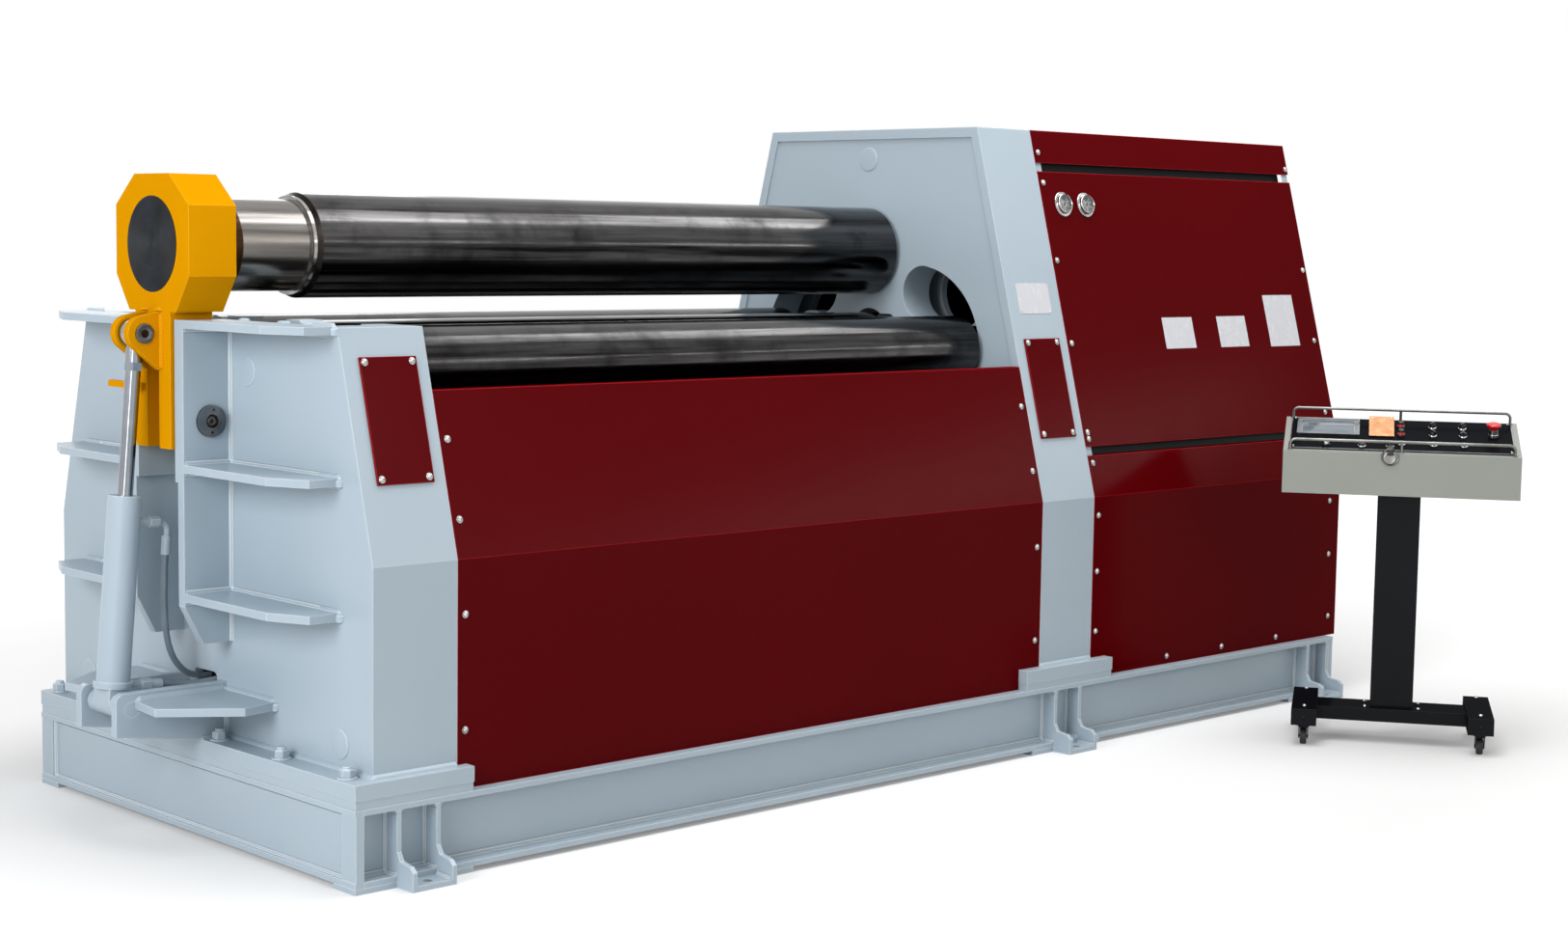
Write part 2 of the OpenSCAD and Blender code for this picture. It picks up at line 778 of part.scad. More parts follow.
// Eight-sided bearing head, the stem under it and the two lugs of the clevis
module drop_end() {
    w = head_half;
    z0 = head_z0;
    z1 = head_z1;
    stem_x = x_hinge + 34;
    color(amber) difference() {
        union() {
            along_x(x_head[0], head_t) polygon([[-113, z0], [-w, z0 + 88], [-w, z1 - 76],
                [-83, z1], [83, z1], [w, z1 - 76], [w, z0 + 88], [113, z0]]);
            block([x_head[0], -stem_half, hinge_z - 70], [stem_x, stem_half, z0 + 1]);
            both_sides() along_y(-clevis_w / 2 - lug_t, lug_t) lug();
        }
        // Channel down the outside of the stem
        block([x_head[0] - 1, -channel_half, hinge_z - 71],
            [x_head[0] + channel_d, channel_half, z0 - 6]);
        translate([x_hinge, 0, hinge_z])
            bar_y(-stem_half - 1, 2 * stem_half + 2, hinge_d + 2 * pin_gap);
        translate([0, 0, top_z]) {
            bar_x(x_head[0] + 12, head_t - 12 - 41, 2 * nose_r + 4 * pin_gap);
            bar_x(x_head[0] - 1, 14, cap_d + 2 * pin_gap);
            translate([x_head[1] - 42, 0, 0]) rotate([0, 90, 0])
                cylinder(h = 43, r1 = nose_r + 2 * pin_gap, r2 = nose_r + 9);
        }
        translate([x_clevis, 0, clevis_z]) bar_y(-clevis_w, 2 * clevis_w, clevis_d + 2 * fit);
    }
}

// Lug of the clevis in X and Z
module lug() {
    translate([x_clevis, clevis_z]) circle(r = 44);
    polygon([[x_clevis - 10, clevis_z + 42], [x_head[0] + 1, head_z0 + 2],
        [x_head[0] + 1, clevis_z - 90], [x_head[0] - 6, clevis_z - 90],
        [x_clevis - 30, clevis_z - 32], [x_clevis - 20, clevis_z]]);
}

// Tab across the outside of the stem that strikes the end stop, with its nut and screw
module stop_tab() {
    color(amber) translate([x_head[0] - tab_t, 0, tab_z]) {
        block([0, 35, -8], [tab_t, 200, 8]);
        translate([-8, 46, 0]) bar_x(0, 9, 19, $fn = 6);
        translate([tab_t / 2, 130, -16]) cylinder(h = 9, d = 8);
    }
}

// Turned disc that closes the bearing head
module bearing_cap() {
    color(black) translate([0, 0, top_z]) bar_x(x_head[0] - 1.5, 13.2, cap_d);
}

// The two ends of the clevis pin, one in each lug
module clevis_pin() {
    color(bright) translate([x_clevis, 0, clevis_z]) both_sides() difference() {
        bar_y(-clevis_w / 2 - lug_t - 3, lug_t + 3, clevis_d);
        bar_y(-clevis_w / 2 - lug_t - 4, 6, 20);
    }
}

// Two side plates with shelves that carry the foot of the cylinder
module cylinder_bracket() {
    y = trunnion_y;
    t = bracket_t;
    edge = x_cyl - 42;
    top = cyl_z + 40;
    r = 24;
    color(blue) both_sides() difference() {
        union() {
            along_y(-y - t, t) {
                polygon([[x_left, sole_z], [x_end, sole_z], [edge, 292], [edge, top - r],
                    [edge + r, top - r], [edge + r, top], [x_left, top]]);
                translate([edge + r, top - r]) circle(r = r);
            }
            translate([0, 0, 358]) linear_extrude(20) polygon([[x_left, -y - t + 1],
                [x_cyl + 8, -y - t + 1], [x_cyl - 8, -y - 150], [x_left - 100, -y - 276],
                [x_left, -y - 254]]);
        }
        translate([x_cyl, 0, cyl_z]) bar_y(-y - t - 1, t + 2, trunnion_d + 2 * pin_gap);
    }
}

// Draws along the cylinder's own axis, with its lower pivot at the origin
module on_cylinder() {
    translate([x_cyl, 0, cyl_z]) rotate([0, cyl_tilt, 0]) children();
}

// Barrel of the tilt cylinder on its cross tube, bored for the rod
module cylinder_barrel() {
    tube = trunnion_y - 8;
    color(blue) on_cylinder() difference() {
        union() {
            translate([0, 0, 40]) cylinder(h = 16, d = barrel_d + 14);
            translate([0, 0, 50]) cylinder(h = barrel_l - 50, d = barrel_d);
            bar_y(-tube, 2 * tube, 58);
            bar_y(-trunnion_y - bracket_t, 2 * (trunnion_y + bracket_t), trunnion_d);
            translate([-29, -40, 0]) cube([58, 80, 42]);
        }
        translate([0, 0, bore_z]) cylinder(h = barrel_l, d = rod_d + 2 * pin_gap);
    }
}

// Piston rod with its lock nut and eye
module cylinder_rod() {
    color(bright) on_cylinder() difference() {
        union() {
            translate([0, 0, rod_z]) cylinder(h = cyl_len - rod_z - 80, d = rod_d);
            translate([0, 0, cyl_len - 92]) cylinder(h = 20, d = rod_d + 9, $fn = 6);
            translate([0, 0, cyl_len - 73]) cylinder(h = 50, d = 2 * eye_half);
            translate([0, 0, cyl_len]) bar_y(-eye_half, 2 * eye_half, eye_d);
        }
        translate([0, 0, cyl_len]) bar_y(-eye_half - 1, 2 * eye_half + 2, clevis_d + 1);
    }
}

// Elbow and sleeve of the upper hose, and the lower hose fitting
module hose_fittings() {
    bend = 20;
    low = ports[0];
    up = ports[1];
    x1 = barrel_d / 2 + 29;
    x2 = x1 + 32;
    color(blue) on_cylinder() difference() {
        union() {
            translate([0, 0, up]) {
                bar_x(33, x1 - 32, 22);
                bar_x(x1, 26, 30, $fn = 6);
                bar_x(x1 + 25, 7, hose_d);
            }
            translate([x2, 0, up - bend]) intersection() {
                rotate([90, 0, 0]) rotate_extrude() translate([bend, 0]) circle(d = hose_d);
                translate([0, -hose_d, 0]) cube(2 * bend);
            }
            translate([x2 + bend, 0, up - 36]) cylinder(h = 16, d = hose_d);
            translate([x2 + bend, 0, up - 81]) cylinder(h = 46, d = 25);
            translate([0, 0, low]) {
                bar_x(33, 43, 22);
                bar_x(75, 25, 32, $fn = 6);
                bar_x(99, 33, 25);
            }
        }
        translate([0, 0, 40]) cylinder(h = 16, d = barrel_d + 14);
        cylinder(h = barrel_l, d = barrel_d);
    }
}

// Direction of a route at one of its points, a direction across it, and a ring of points round it
function ahead(p, i) = let (v = p[min(i + 1, len(p) - 1)] - p[max(i - 1, 0)]) v / norm(v);
function across(t) = let (v = cross(t, [0, 1, 0])) v / norm(v);
function ring(c, t, d, n) = let (u = across(t), w = cross(t, u))
    [for (k = [0:n - 1]) c + d / 2 * (cos(360 * k / n) * u + sin(360 * k / n) * w)];

// A hose that follows a route of points
module hose(route) {
    p = [for (q = route) q + [x_left, 0, 0]];
    n = 10;
    last = len(p) - 1;
    rings = [for (i = [0:last]) each ring(p[i], ahead(p, i), hose_d, n)];
    sides = [for (i = [0:last - 1]) for (k = [0:n - 1])
        [i * n + k, (i + 1) * n + k, (i + 1) * n + (k + 1) % n, i * n + (k + 1) % n]];
    color(blue) polyhedron(rings, concat(sides,
        [[for (k = [0:n - 1]) k], [for (k = [n - 1:-1:0]) last * n + k]]));
}

module upper_hose() {
    hose(upper_route);
}

module lower_hose() {
    hose(lower_route);
}

// Places the drawing at the desk post, turned with the desk
module at_desk() {
    translate([desk_x, -desk_y, 0]) rotate(desk_turn) children();
}

module desk_box() {
    color("#9fa39c") at_desk() translate([-desk_w / 2, 0, 0]) rotate([90, 0, 90])
        linear_extrude(desk_w) polygon([[desk_y0, desk_z], [desk_y0, desk_z + desk_front],
            [desk_y0 + desk_d, desk_z + desk_back], [desk_y0 + desk_d, desk_z]]);
}

// Lays drawing on the sloping top of the desk, Z square to it
module on_desk_top() {
    at_desk() translate([0, desk_y0, desk_z + desk_front]) rotate([desk_slope, 0, 0]) children();
}

module desk_panel() {
    color(black) on_desk_top() translate([-desk_w / 2 + 18, 18, 0])
        cube([desk_w - 36, desk_top_l - 36, 4]);
}

// A wire loop of square-cornered rod standing on the desk top
module rail(y) {
    w = desk_w - 40;
    d = 9;
    h = 34;
    translate([-w / 2 - d / 2, y, h]) bar_x(0, w + d, d);
    for (x = [-w / 2, 0, w / 2]) translate([x, y, 0]) cylinder(h = h, d = d);
}

module desk_rails() {
    color(bright) on_desk_top() for (y = [9, desk_top_l - 9]) rail(y);
}

// Display frame, buttons, selector switches, the small switches in front and the stop button
module desk_controls() {
    color("#b01018") on_desk_top() translate([0, 0, 4]) {
        translate([-desk_w / 2 + 36, 145, 0]) cube([190, 155, 7]);
        for (x = [-225, -118, -34]) translate([x, 52, 0]) cylinder(h = 16, d = 26);
        for (x = [0, 95, 185]) for (y = [80, 170, 250]) translate([x, y, 0]) cylinder(h = 16, d = 26);
        translate([275, 180, 0]) cylinder(h = 22, d = 30);
        translate([275, 180, 21]) cylinder(h = 14, d = 44);
    }
}

module desk_post() {
    z0 = castor_h + desk_foot_h - 8;
    color(black) at_desk() translate([-post_w / 2, -post_d / 2, z0]) cube([post_w, post_d, desk_z - z0]);
}

module desk_base() {
    half = desk_feet / 2;
    color(black) at_desk() {
        for (s = [-1, 1])
            translate([s * half - desk_foot_w / 2, -desk_foot_l / 2, castor_h])
                cube([desk_foot_w, desk_foot_l, desk_foot_h]);
        translate([-half, -75, castor_h + 3]) cube([2 * half, 150, desk_foot_h - 11]);
    }
}

// Swivelling fork with its plate and axle
module castor_fork(i) {
    p = castor_spots[i];
    plate = 5;
    top = castor_h - plate;
    color(black) at_desk() translate([p[0], p[1], 0]) {
        translate([0, 0, top]) cylinder(h = plate - fit, d = 44);
        difference() {
            translate([-15, -20, wheel_z - 8]) cube([30, 45, top - wheel_z + 8.5]);
            translate([-11, -40, -1]) cube([22, 80, top - 5]);
        }
        translate([0, wheel_trail, wheel_z]) bar_x(-13, 26, axle_d);
    }
}

module castor_wheel(i) {
    p = castor_spots[i];
    color(black) at_desk() translate([p[0], p[1] + wheel_trail, wheel_z]) difference() {
        bar_x(-10, 20, wheel_d);
        bar_x(-11, 22, axle_d + 2 * pin_gap);
    }
}

base_side_beams();
base_end_beams();
base_cross_beams();
feet();
sole_plates();
left_frame();
frame_ribs();
drive_frame();
front_panel();
rear_panel();
cover_plates();
cabinet_frame();
cabinet_hood();
cabinet_doors();
cabinet_lower_covers();
cabinet_end();
pressure_gauges();
swing_pins();
front_swing_arms();
rear_swing_arms();
lift_blocks();
lift_cylinders();
top_roll();
bottom_roll();
front_side_roll();
rear_side_roll();
hinge_pin();
drop_end();
stop_tab();
bearing_cap();
clevis_pin();
cylinder_bracket();
cylinder_barrel();
cylinder_rod();
hose_fittings();
upper_hose();
lower_hose();
desk_box();
desk_panel();
desk_rails();
desk_controls();
desk_post();
desk_base();
castor_fork(0);  // castor_fork_1
castor_fork(1);  // castor_fork_2
castor_fork(2);  // castor_fork_3
castor_fork(3);  // castor_fork_4
castor_wheel(0);  // castor_wheel_1
castor_wheel(1);  // castor_wheel_2
castor_wheel(2);  // castor_wheel_3
castor_wheel(3);  // castor_wheel_4
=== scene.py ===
import json
import random
from math import atan2, cos, hypot, pi, radians, sin, tan

import bmesh
import bpy
from mathutils import Matrix, Vector


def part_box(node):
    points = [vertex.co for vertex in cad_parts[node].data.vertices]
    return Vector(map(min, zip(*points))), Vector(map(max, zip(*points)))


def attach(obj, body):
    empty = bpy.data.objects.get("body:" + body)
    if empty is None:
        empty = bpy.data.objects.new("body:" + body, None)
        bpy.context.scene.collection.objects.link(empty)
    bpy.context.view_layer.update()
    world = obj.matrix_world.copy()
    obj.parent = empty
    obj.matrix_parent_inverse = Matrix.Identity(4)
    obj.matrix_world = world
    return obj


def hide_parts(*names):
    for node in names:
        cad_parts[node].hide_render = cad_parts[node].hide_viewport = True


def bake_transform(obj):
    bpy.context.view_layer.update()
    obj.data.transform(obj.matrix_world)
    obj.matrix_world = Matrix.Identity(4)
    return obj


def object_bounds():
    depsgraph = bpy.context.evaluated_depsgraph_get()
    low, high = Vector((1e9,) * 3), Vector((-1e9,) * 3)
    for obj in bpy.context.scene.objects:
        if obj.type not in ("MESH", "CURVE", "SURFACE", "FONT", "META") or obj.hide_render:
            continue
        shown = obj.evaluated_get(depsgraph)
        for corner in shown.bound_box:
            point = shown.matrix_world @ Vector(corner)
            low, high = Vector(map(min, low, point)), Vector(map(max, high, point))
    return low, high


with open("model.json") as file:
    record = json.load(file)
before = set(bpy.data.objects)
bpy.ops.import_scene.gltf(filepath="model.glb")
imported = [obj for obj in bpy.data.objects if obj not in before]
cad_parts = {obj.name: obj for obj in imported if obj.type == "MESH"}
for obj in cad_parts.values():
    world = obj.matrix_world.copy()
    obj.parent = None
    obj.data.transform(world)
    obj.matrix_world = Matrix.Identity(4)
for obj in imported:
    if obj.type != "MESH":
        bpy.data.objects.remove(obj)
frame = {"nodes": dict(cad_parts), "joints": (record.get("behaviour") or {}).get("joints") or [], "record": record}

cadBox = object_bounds()
dice = random.Random(7)
scene = bpy.context.scene
scene.view_settings.view_transform = "Standard"
across = 1, -1  # both sides of a middle plane, as a sign
corners = [(sx, sy) for sx in (-1, 1) for sy in (-1, 1)]
outward, upward = (-1, 0, 0), (0, 0, 1)  # away from the left end, and up


def linear(hexCode):  # sRGB hex to linear colour
    parts = [int(hexCode[i:i + 2], 16) / 255 for i in (1, 3, 5)]
    return [c / 12.92 if c <= 0.04045 else ((c + 0.055) / 1.055) ** 2.4 for c in parts] + [1]


def put(mat, kind, inputs=(), **settings):
    # adds a node with its inputs by name, or as a row in their order (noise: place, scale,
    # detail, roughness; range: value, from, to): a node or a socket is linked, a hex colour is
    # turned to linear, and a number is set
    node = mat.node_tree.nodes.new("ShaderNode" + kind)
    for key, value in settings.items():
        setattr(node, key, value)
    sockets = node.inputs
    if not isinstance(inputs, dict):
        sockets = [socket for socket in sockets if socket.enabled]
        inputs = dict(enumerate(inputs))
    for key, value in inputs.items():
        if isinstance(value, bpy.types.Node):
            value = next(out for out in value.outputs if out.enabled)
        if isinstance(value, bpy.types.NodeSocket):
            mat.node_tree.links.new(value, sockets[key])
        else:
            sockets[key].default_value = linear(value) if isinstance(value, str) else value
    return node


def material(name, surface, look):  # surface: a function that makes the nodes
    mat = bpy.data.materials.new(name)
    mat.use_nodes = True
    mat.node_tree.nodes.clear()
    place = put(mat, "TexCoord").outputs["Object"]
    put(mat, "OutputMaterial", [surface(mat, place, look)])
    return mat


def family(surface, keys, rows):  # materials made alike, each from its row of settings
    return [material(name, surface, dict(zip(keys, row))) for name, row in rows.items()]


def addPiece(name, draw, look, mats, body, sharp=35):
    # a piece whose mesh is made by a function, riding on a body of the machine
    bm = bmesh.new()
    draw(bm, look)
    mesh = bpy.data.meshes.new(name)
    bmesh.ops.recalc_face_normals(bm, faces=bm.faces[:])
    bm.to_mesh(mesh)
    bm.free()
    for mat in mats:
        mesh.materials.append(mat)
    mesh.shade_smooth()
    mesh.set_sharp_from_angle(angle=radians(sharp))
    piece = bpy.data.objects.new(name, mesh)
    scene.collection.objects.link(piece)
    if body:
        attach(piece, body)
    return piece


def pick(look, names):  # several settings at once
    return [look[name] for name in names.split()]


def shift(x, y, z=0):
    return Matrix.Translation((x, y, z))


def turnZ(angle):
    return Matrix.Rotation(angle, 4, "Z")


def aim(direction, at=(0, 0, 0)):  # matrix whose Z looks along a direction
    return shift(*at) @ Vector(direction).to_track_quat("Z", "Y").to_matrix().to_4x4()


def circle(r, steps, h=0):  # points of a level circle
    turns = [2 * pi * k / steps for k in range(steps)]
    return [Vector((r * cos(t), r * sin(t), h)) for t in turns]


def bridge(bm, rings, mat=0, closed=False):  # faces between one ring of points and the next
    for low, high in zip(rings, rings[1:] + rings[:1] if closed else rings[1:]):
        for k in range(len(low)):
            j = (k + 1) % len(low)
            bm.faces.new((low[k], low[j], high[j], high[k])).material_index = mat


def cap(bm, rings, mat=0):  # faces over the first and the last ring
    for ring in (rings[0][::-1], rings[-1]):
        bm.faces.new(ring).material_index = mat


def lathe(bm, profile, place, steps=32, mat=0):  # turns (radius, height) points about Z
    rings = []
    for r, h in profile:
        points = circle(r, steps, h) if r > 0 else [Vector((0, 0, h))]
        rings.append([bm.verts.new(place @ p) for p in points])
    for low, high in zip(rings, rings[1:]):
        if len(high) == 1:
            for k in range(steps):
                bm.faces.new((low[k], low[(k + 1) % steps], high[0])).material_index = mat
        else:
            bridge(bm, [low, high], mat)
    if profile[0] == profile[-1]:
        bmesh.ops.remove_doubles(bm, verts=rings[0] + rings[-1], dist=1e-7)
        return
    for ring, turned in ((rings[0], True), (rings[-1], False)):  # closes open ends
        if len(ring) > 1:
            bm.faces.new(ring[::-1] if turned else ring).material_index = mat


def prism(bm, outline, depth, place, mat=0, bevel=0, steps=2):  # thickens an outline along Z
    low = [bm.verts.new(place @ Vector((x, y, 0))) for x, y in outline]
    high = [bm.verts.new(place @ Vector((x, y, depth))) for x, y in outline]
    made = [bm.faces.new(low[::-1]), bm.faces.new(high)]
    for k in range(len(low)):
        j = (k + 1) % len(low)
        made.append(bm.faces.new((low[k], low[j], high[j], high[k])))
    for f in made:
        f.material_index = mat
    if bevel:
        edges = list({e for f in made for e in f.edges})
        bmesh.ops.bevel(bm, geom=edges, offset=bevel, segments=steps, affect="EDGES", profile=0.5,
            clamp_overlap=True, material=mat)


def slab(bm, size, place, bevel=0.001, mat=0, steps=2):  # a block with rounded edges
    a, b, c = (s / 2 for s in size)
    prism(bm, [(-a, -b), (a, -b), (a, b), (-a, b)], size[2], place @ shift(0, 0, -c), mat, bevel,
        steps)


def trim(bm, size, outset, inset, depth, place, mat=0):  # a flat frame with mitred corners
    loops = []
    for less, h in ((outset, 0), (outset, depth), (inset, depth), (inset, 0)):
        w, d = ((side - less) / 2 for side in size)
        loops.append([bm.verts.new(place @ Vector((x, y, h)))
            for x, y in ((-w, -d), (w, -d), (w, d), (-w, d))])
    bridge(bm, loops, mat, True)


def sweep(bm, points, radius, sides=10, mat=0, closed=False):  # a tube along points
    pts = [Vector(p) for p in points]
    side = None
    rings = []
    for i, p in enumerate(pts):
        a = pts[i - 1] if closed or i else p
        b = pts[(i + 1) % len(pts)] if closed else pts[min(i + 1, len(pts) - 1)]
        t = (b - a).normalized()
        side = side or t.orthogonal()
        side = (side - t * side.dot(t)).normalized()
        turn = Matrix((side, t.cross(side), t)).transposed()
        rings.append([bm.verts.new(p + turn @ c) for c in circle(radius, sides)])
    bridge(bm, rings, mat, closed)
    if not closed:
        cap(bm, rings, mat)


def rounded(points, between):  # a smooth line through points
    pts = [Vector(p) for p in points]
    ends = [2 * pts[0] - pts[1]] + pts + [2 * pts[-1] - pts[-2]]
    line = []
    for a, b, c, d in zip(ends, ends[1:], ends[2:], ends[3:]):
        for k in range(between):
            t = k / between
            line.append(0.5 * (2 * b + (c - a) * t + (2 * a - 5 * b + 4 * c - d) * t * t
                               + (3 * b - a - 3 * c + d) * t ** 3))
    return line + [pts[-1]]


# spacing of the scales, rings to each, depth sunk in, size at the ends, growth and flatness
bead = {"pitch": 0.009, "rings": 4, "sunk": 0.0008, "ends": 0.35, "growth": 0.22, "flat": 0.14}


def seam(bm, start, axis, end, sideA, sideB, size, ripple=0):
    # weld along x, y or z in the corner between two faces: a hollow fillet, or, where it
    # ripples, a bulging bead of scales
    pitch, each, sunk, ends, growth, flat = bead.values()
    a, b, sideA, sideB = Vector(start), Vector(start), Vector(sideA), Vector(sideB)
    setattr(b, axis, end)
    count = max(3, int((b - a).length / pitch * each)) if ripple else 2
    rings = []
    for i in range(count + 1):
        at = a.lerp(b, i / count)
        r = size
        if ripple:
            r *= min(1, ends + min(i, count - i) * growth)
            r *= 1 + ripple * (abs(sin(pi * i / each)) - 0.5) * dice.uniform(0.5, 1.5)
        section = [at - (sideA + sideB) * sunk]
        for k in range(5):
            t = pi / 2 * k / 4
            if ripple:
                bulge = r * (1 - flat + flat * abs(cos(2 * t)))
                section.append(at + (sideA * cos(t) + sideB * sin(t)) * bulge)
            else:
                section.append(at + (sideA * (1 - sin(t)) + sideB * (1 - cos(t))) * r)
        rings.append([bm.verts.new(p) for p in section])
    bridge(bm, rings)
    cap(bm, rings)


print("helpers ready")

# places taken from the frame
joints = {j["name"]: j for j in frame["joints"]}
lowOf = {n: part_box(n)[0] for n in frame["nodes"]}
highOf = {n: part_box(n)[1] for n in frame["nodes"]}
leftX, innerX = lowOf["left_frame"].x, highOf["left_frame"].x
driveX, cabX = lowOf["drive_frame"].x, highOf["drive_frame"].x
cabEnd = highOf["cabinet_lower_covers"].x
frameHalf = highOf["left_frame"].y
soleTop = highOf["sole_plates"].z
topZ = joints["top_roll_spin"]["pos_m"][2]
headX = lowOf["bearing_cap"].x + 0.0015  # outer face of the bearing head, behind its cap
hinge = joints["drop_end_tilt"]["pos_m"]
bendZ, lean = 0.753, radians(14.9)  # height above which the front and rear faces lean


def depthAt(z):  # distance from the roll plane to the front faces at a height
    return frameHalf - max(0, z - bendZ) * tan(lean)


def onFace(x, z, proud=0, side=-1, turn=0):  # a spot on the front or rear faces
    tilt = lean if z > bendZ else 0
    out = Vector((0, side * cos(tilt), sin(tilt)))
    up = Vector((0, -side * sin(tilt), cos(tilt)))
    spin = Matrix((up.cross(out), up, out)).transposed().to_4x4()
    place = Vector((x, side * depthAt(z), z)) + out * proud
    return shift(*place) @ spin @ turnZ(turn)


viewer = {"place": (-5.1214, -5.4229, 1.53), "heading": 43.7558, "down": 5.4038,
    "roll": 0.8877, "lens": 56.005, "sensor": 36, "farthest": 100}


def makeCamera(look):
    data = bpy.data.cameras.new("viewer")
    data.lens = look["lens"]
    data.sensor_width = look["sensor"]
    data.clip_end = look["farthest"]
    eye = bpy.data.objects.new("viewer", data)
    scene.collection.objects.link(eye)
    heading, down, roll = (radians(angle) for angle in pick(look, "heading down roll"))
    eye.matrix_world = shift(*look["place"]) @ turnZ(-heading) \
        @ Matrix.Rotation(pi / 2 - down, 4, "X") @ turnZ(roll)
    scene.camera = eye


makeCamera(viewer)
print("camera set")


def sprayedEnamel(mat, place, look):
    # enamel sprayed on plate: an even gloss with a slow drift of tone, a faint orange peel that
    # breaks up reflections, and a painted highlight: a paler tone along the edges, as if they caught light
    dark, light, edgeHighlightTone = look["tones"]
    highlightWide, highlightShare = look["edgeMm"]
    (peelWide, peelDeep), (waveWide, waveDeep) = look["peelMm"], look["waveMm"]
    drift = put(mat, "TexNoise", (place, 1000 / look["driftMm"], 2.5))
    tone = put(mat, "Mix", (drift, dark, light), data_type="RGBA")
    soft = put(mat, "Bevel", {"Radius": highlightWide / 1000}, samples=4)
    flat = put(mat, "NewGeometry").outputs["Normal"]
    agree = put(mat, "VectorMath", (soft, flat), operation="DOT_PRODUCT")
    # painted highlight: where the bevelled normal leaves the flat one, along every edge, the tone turns paler
    edge = put(mat, "MapRange", (agree, 0.998, 0.985, 0, highlightShare))
    tone = put(mat, "Mix", (edge, tone, edgeHighlightTone), data_type="RGBA")
    scuffs = put(mat, "TexNoise", (place, 9, 6, 0.7))
    rough = put(mat, "MapRange", (scuffs, 0.35, 0.7, look["rough"] - 0.01, look["rough"] + 0.02))
    peel = put(mat, "TexNoise", (place, 1000 / peelWide, 1))
    wave = put(mat, "TexNoise", (place, 1000 / waveWide, 1))
    bumpy = put(mat, "Bump", {"Height": wave, "Normal": soft, "Distance": waveDeep / 1000})
    bumpy = put(mat, "Bump", {"Height": peel, "Normal": bumpy, "Distance": peelDeep / 1000})
    skin = put(mat, "BsdfPrincipled", {"Base Color": tone, "Roughness": rough, "Normal": bumpy,
        "Specular IOR Level": look["shine"]})
    sheen = put(mat, "BsdfGlossy", {"Color": "#ffffff", "Roughness": rough, "Normal": bumpy})
    return put(mat, "MixShader", (look["gloss"], skin, sheen))


# tones: dark, light and painted edge highlight; then width and strength of that highlight; peelMm, waveMm: spacing
# and depth
frameEnamel, coverEnamel, headEnamel, deskCoat, blackCoat, housingCoat = family(sprayedEnamel, (
    "tones", "edgeMm", "driftMm", "rough", "peelMm", "waveMm", "shine", "gloss"), {
    "blueGreyEnamel": (("#9cabb6", "#a8b6c0", "#d8e1e7"), (3, 0.8), 500, 0.3, (14, 0.012),
        (500, 0.3), 0.35, 0),
    "maroonEnamel": (("#4e0003", "#560106", "#bb242a"), (3, 0.85), 900, 0.18, (12, 0.008),
        (550, 1), 0, 0.004),
    "amberEnamel": (("#c78400", "#d19100", "#ffbd30"), (2.5, 0.6), 250, 0.24, (12, 0.012),
        (300, 0.3), 0, 0.002),
    "greyPowderCoat": (("#8b8f88", "#959992", "#b8bcb5"), (1.5, 0.5), 300, 0.42, (5, 0.05),
        (300, 0.2), 0.3, 0),
    "blackGlossCoat": (("#0c0d10", "#121418", "#4a4c52"), (1.5, 0.4), 300, 0.16, (8, 0.01),
        (250, 0.25), 0, 0.009),
    "darkHousingPaint": (("#0c0d0f", "#141518", "#232428"), (2, 0.3), 400, 0.6, (10, 0.05),
        (400, 0.2), 0.2, 0)})


def workedMetal(mat, place, look):
    # steel with the marks of its making: fine lines along one direction break the gloss into
    # streaks, and the tone drifts where oil or handling has dulled it
    along = put(mat, "Mapping", {"Vector": place, "Scale": look["marks"]})
    marks = put(mat, "TexNoise", (along, 1, 5, 0.6))
    patch = put(mat, "TexNoise", (place, 1000 / look["patchMm"], 4, 0.6))
    dulled = put(mat, "MapRange", (patch, 0.35, 0.68))
    tone = put(mat, "Mix", (dulled, *look["tones"]), data_type="RGBA")
    rough = put(mat, "MapRange", (marks, 0.3, 0.7, *look["rough"]))
    lines = put(mat, "Bump", {"Height": marks, "Distance": look["deepMm"] / 1000})
    return put(mat, "BsdfPrincipled", {"Base Color": tone, "Roughness": rough, "Normal": lines,
        "Metallic": 1})


# marks: lines per metre in x, y and z; the lines are drawn coarser than the real tenths of a
# millimetre, so that they show
(hardChrome, zincSteel, stainless, drawnWire, oiledSteel, greaseAndShadeSteel, blackZinc,
 brassSheet) = family(workedMetal, ("tones", "marks", "patchMm", "rough", "deepMm"), {
    # ground and plated: near mirror, cool
    "hardChromePlate": (("#a2a7ae", "#868b92"), (300, 300, 6), 200, (0.07, 0.16), 0.004),
    # screws and washers: pale, slightly cloudy
    "brightZincPlate": (("#c6c7c5", "#9a9b99"), (160, 160, 160), 20, (0.2, 0.36), 0.01),
    # gauge rims, bezels: polished
    "polishedStainless": (("#c9cac9", "#a3a5a6"), (200, 200, 200), 50, (0.1, 0.22), 0.004),
    # desk rails: satin grey, drawn lengthwise
    "drawnSteelWire": (("#8b8b87", "#6c6c69"), (60, 60, 260), 80, (0.28, 0.42), 0.01),
    # pins and their flanges: turned, brown with oil
    "oiledPinSteel": (("#77787a", "#463f39"), (250, 250, 250), 30, (0.26, 0.42), 0.02),
    # the seal: old grease over steel; in the sockets and the hinge recess, grease and painted shade of the hollow
    "greasyBrownSteel": (("#46311f", "#1a110b"), (120, 120, 120), 15, (0.22, 0.5), 0.03),
    # castor forks: thin black plating on pressings
    "blackZincPressing": (("#2b2b2d", "#1b1b1c"), (90, 90, 90), 30, (0.25, 0.42), 0.01),
    # blank plate on the desk: rolled, warm, satin
    "rolledBrassSheet": (("#d7a077", "#b67f55"), (30, 260, 30), 30, (0.34, 0.5), 0.01)})


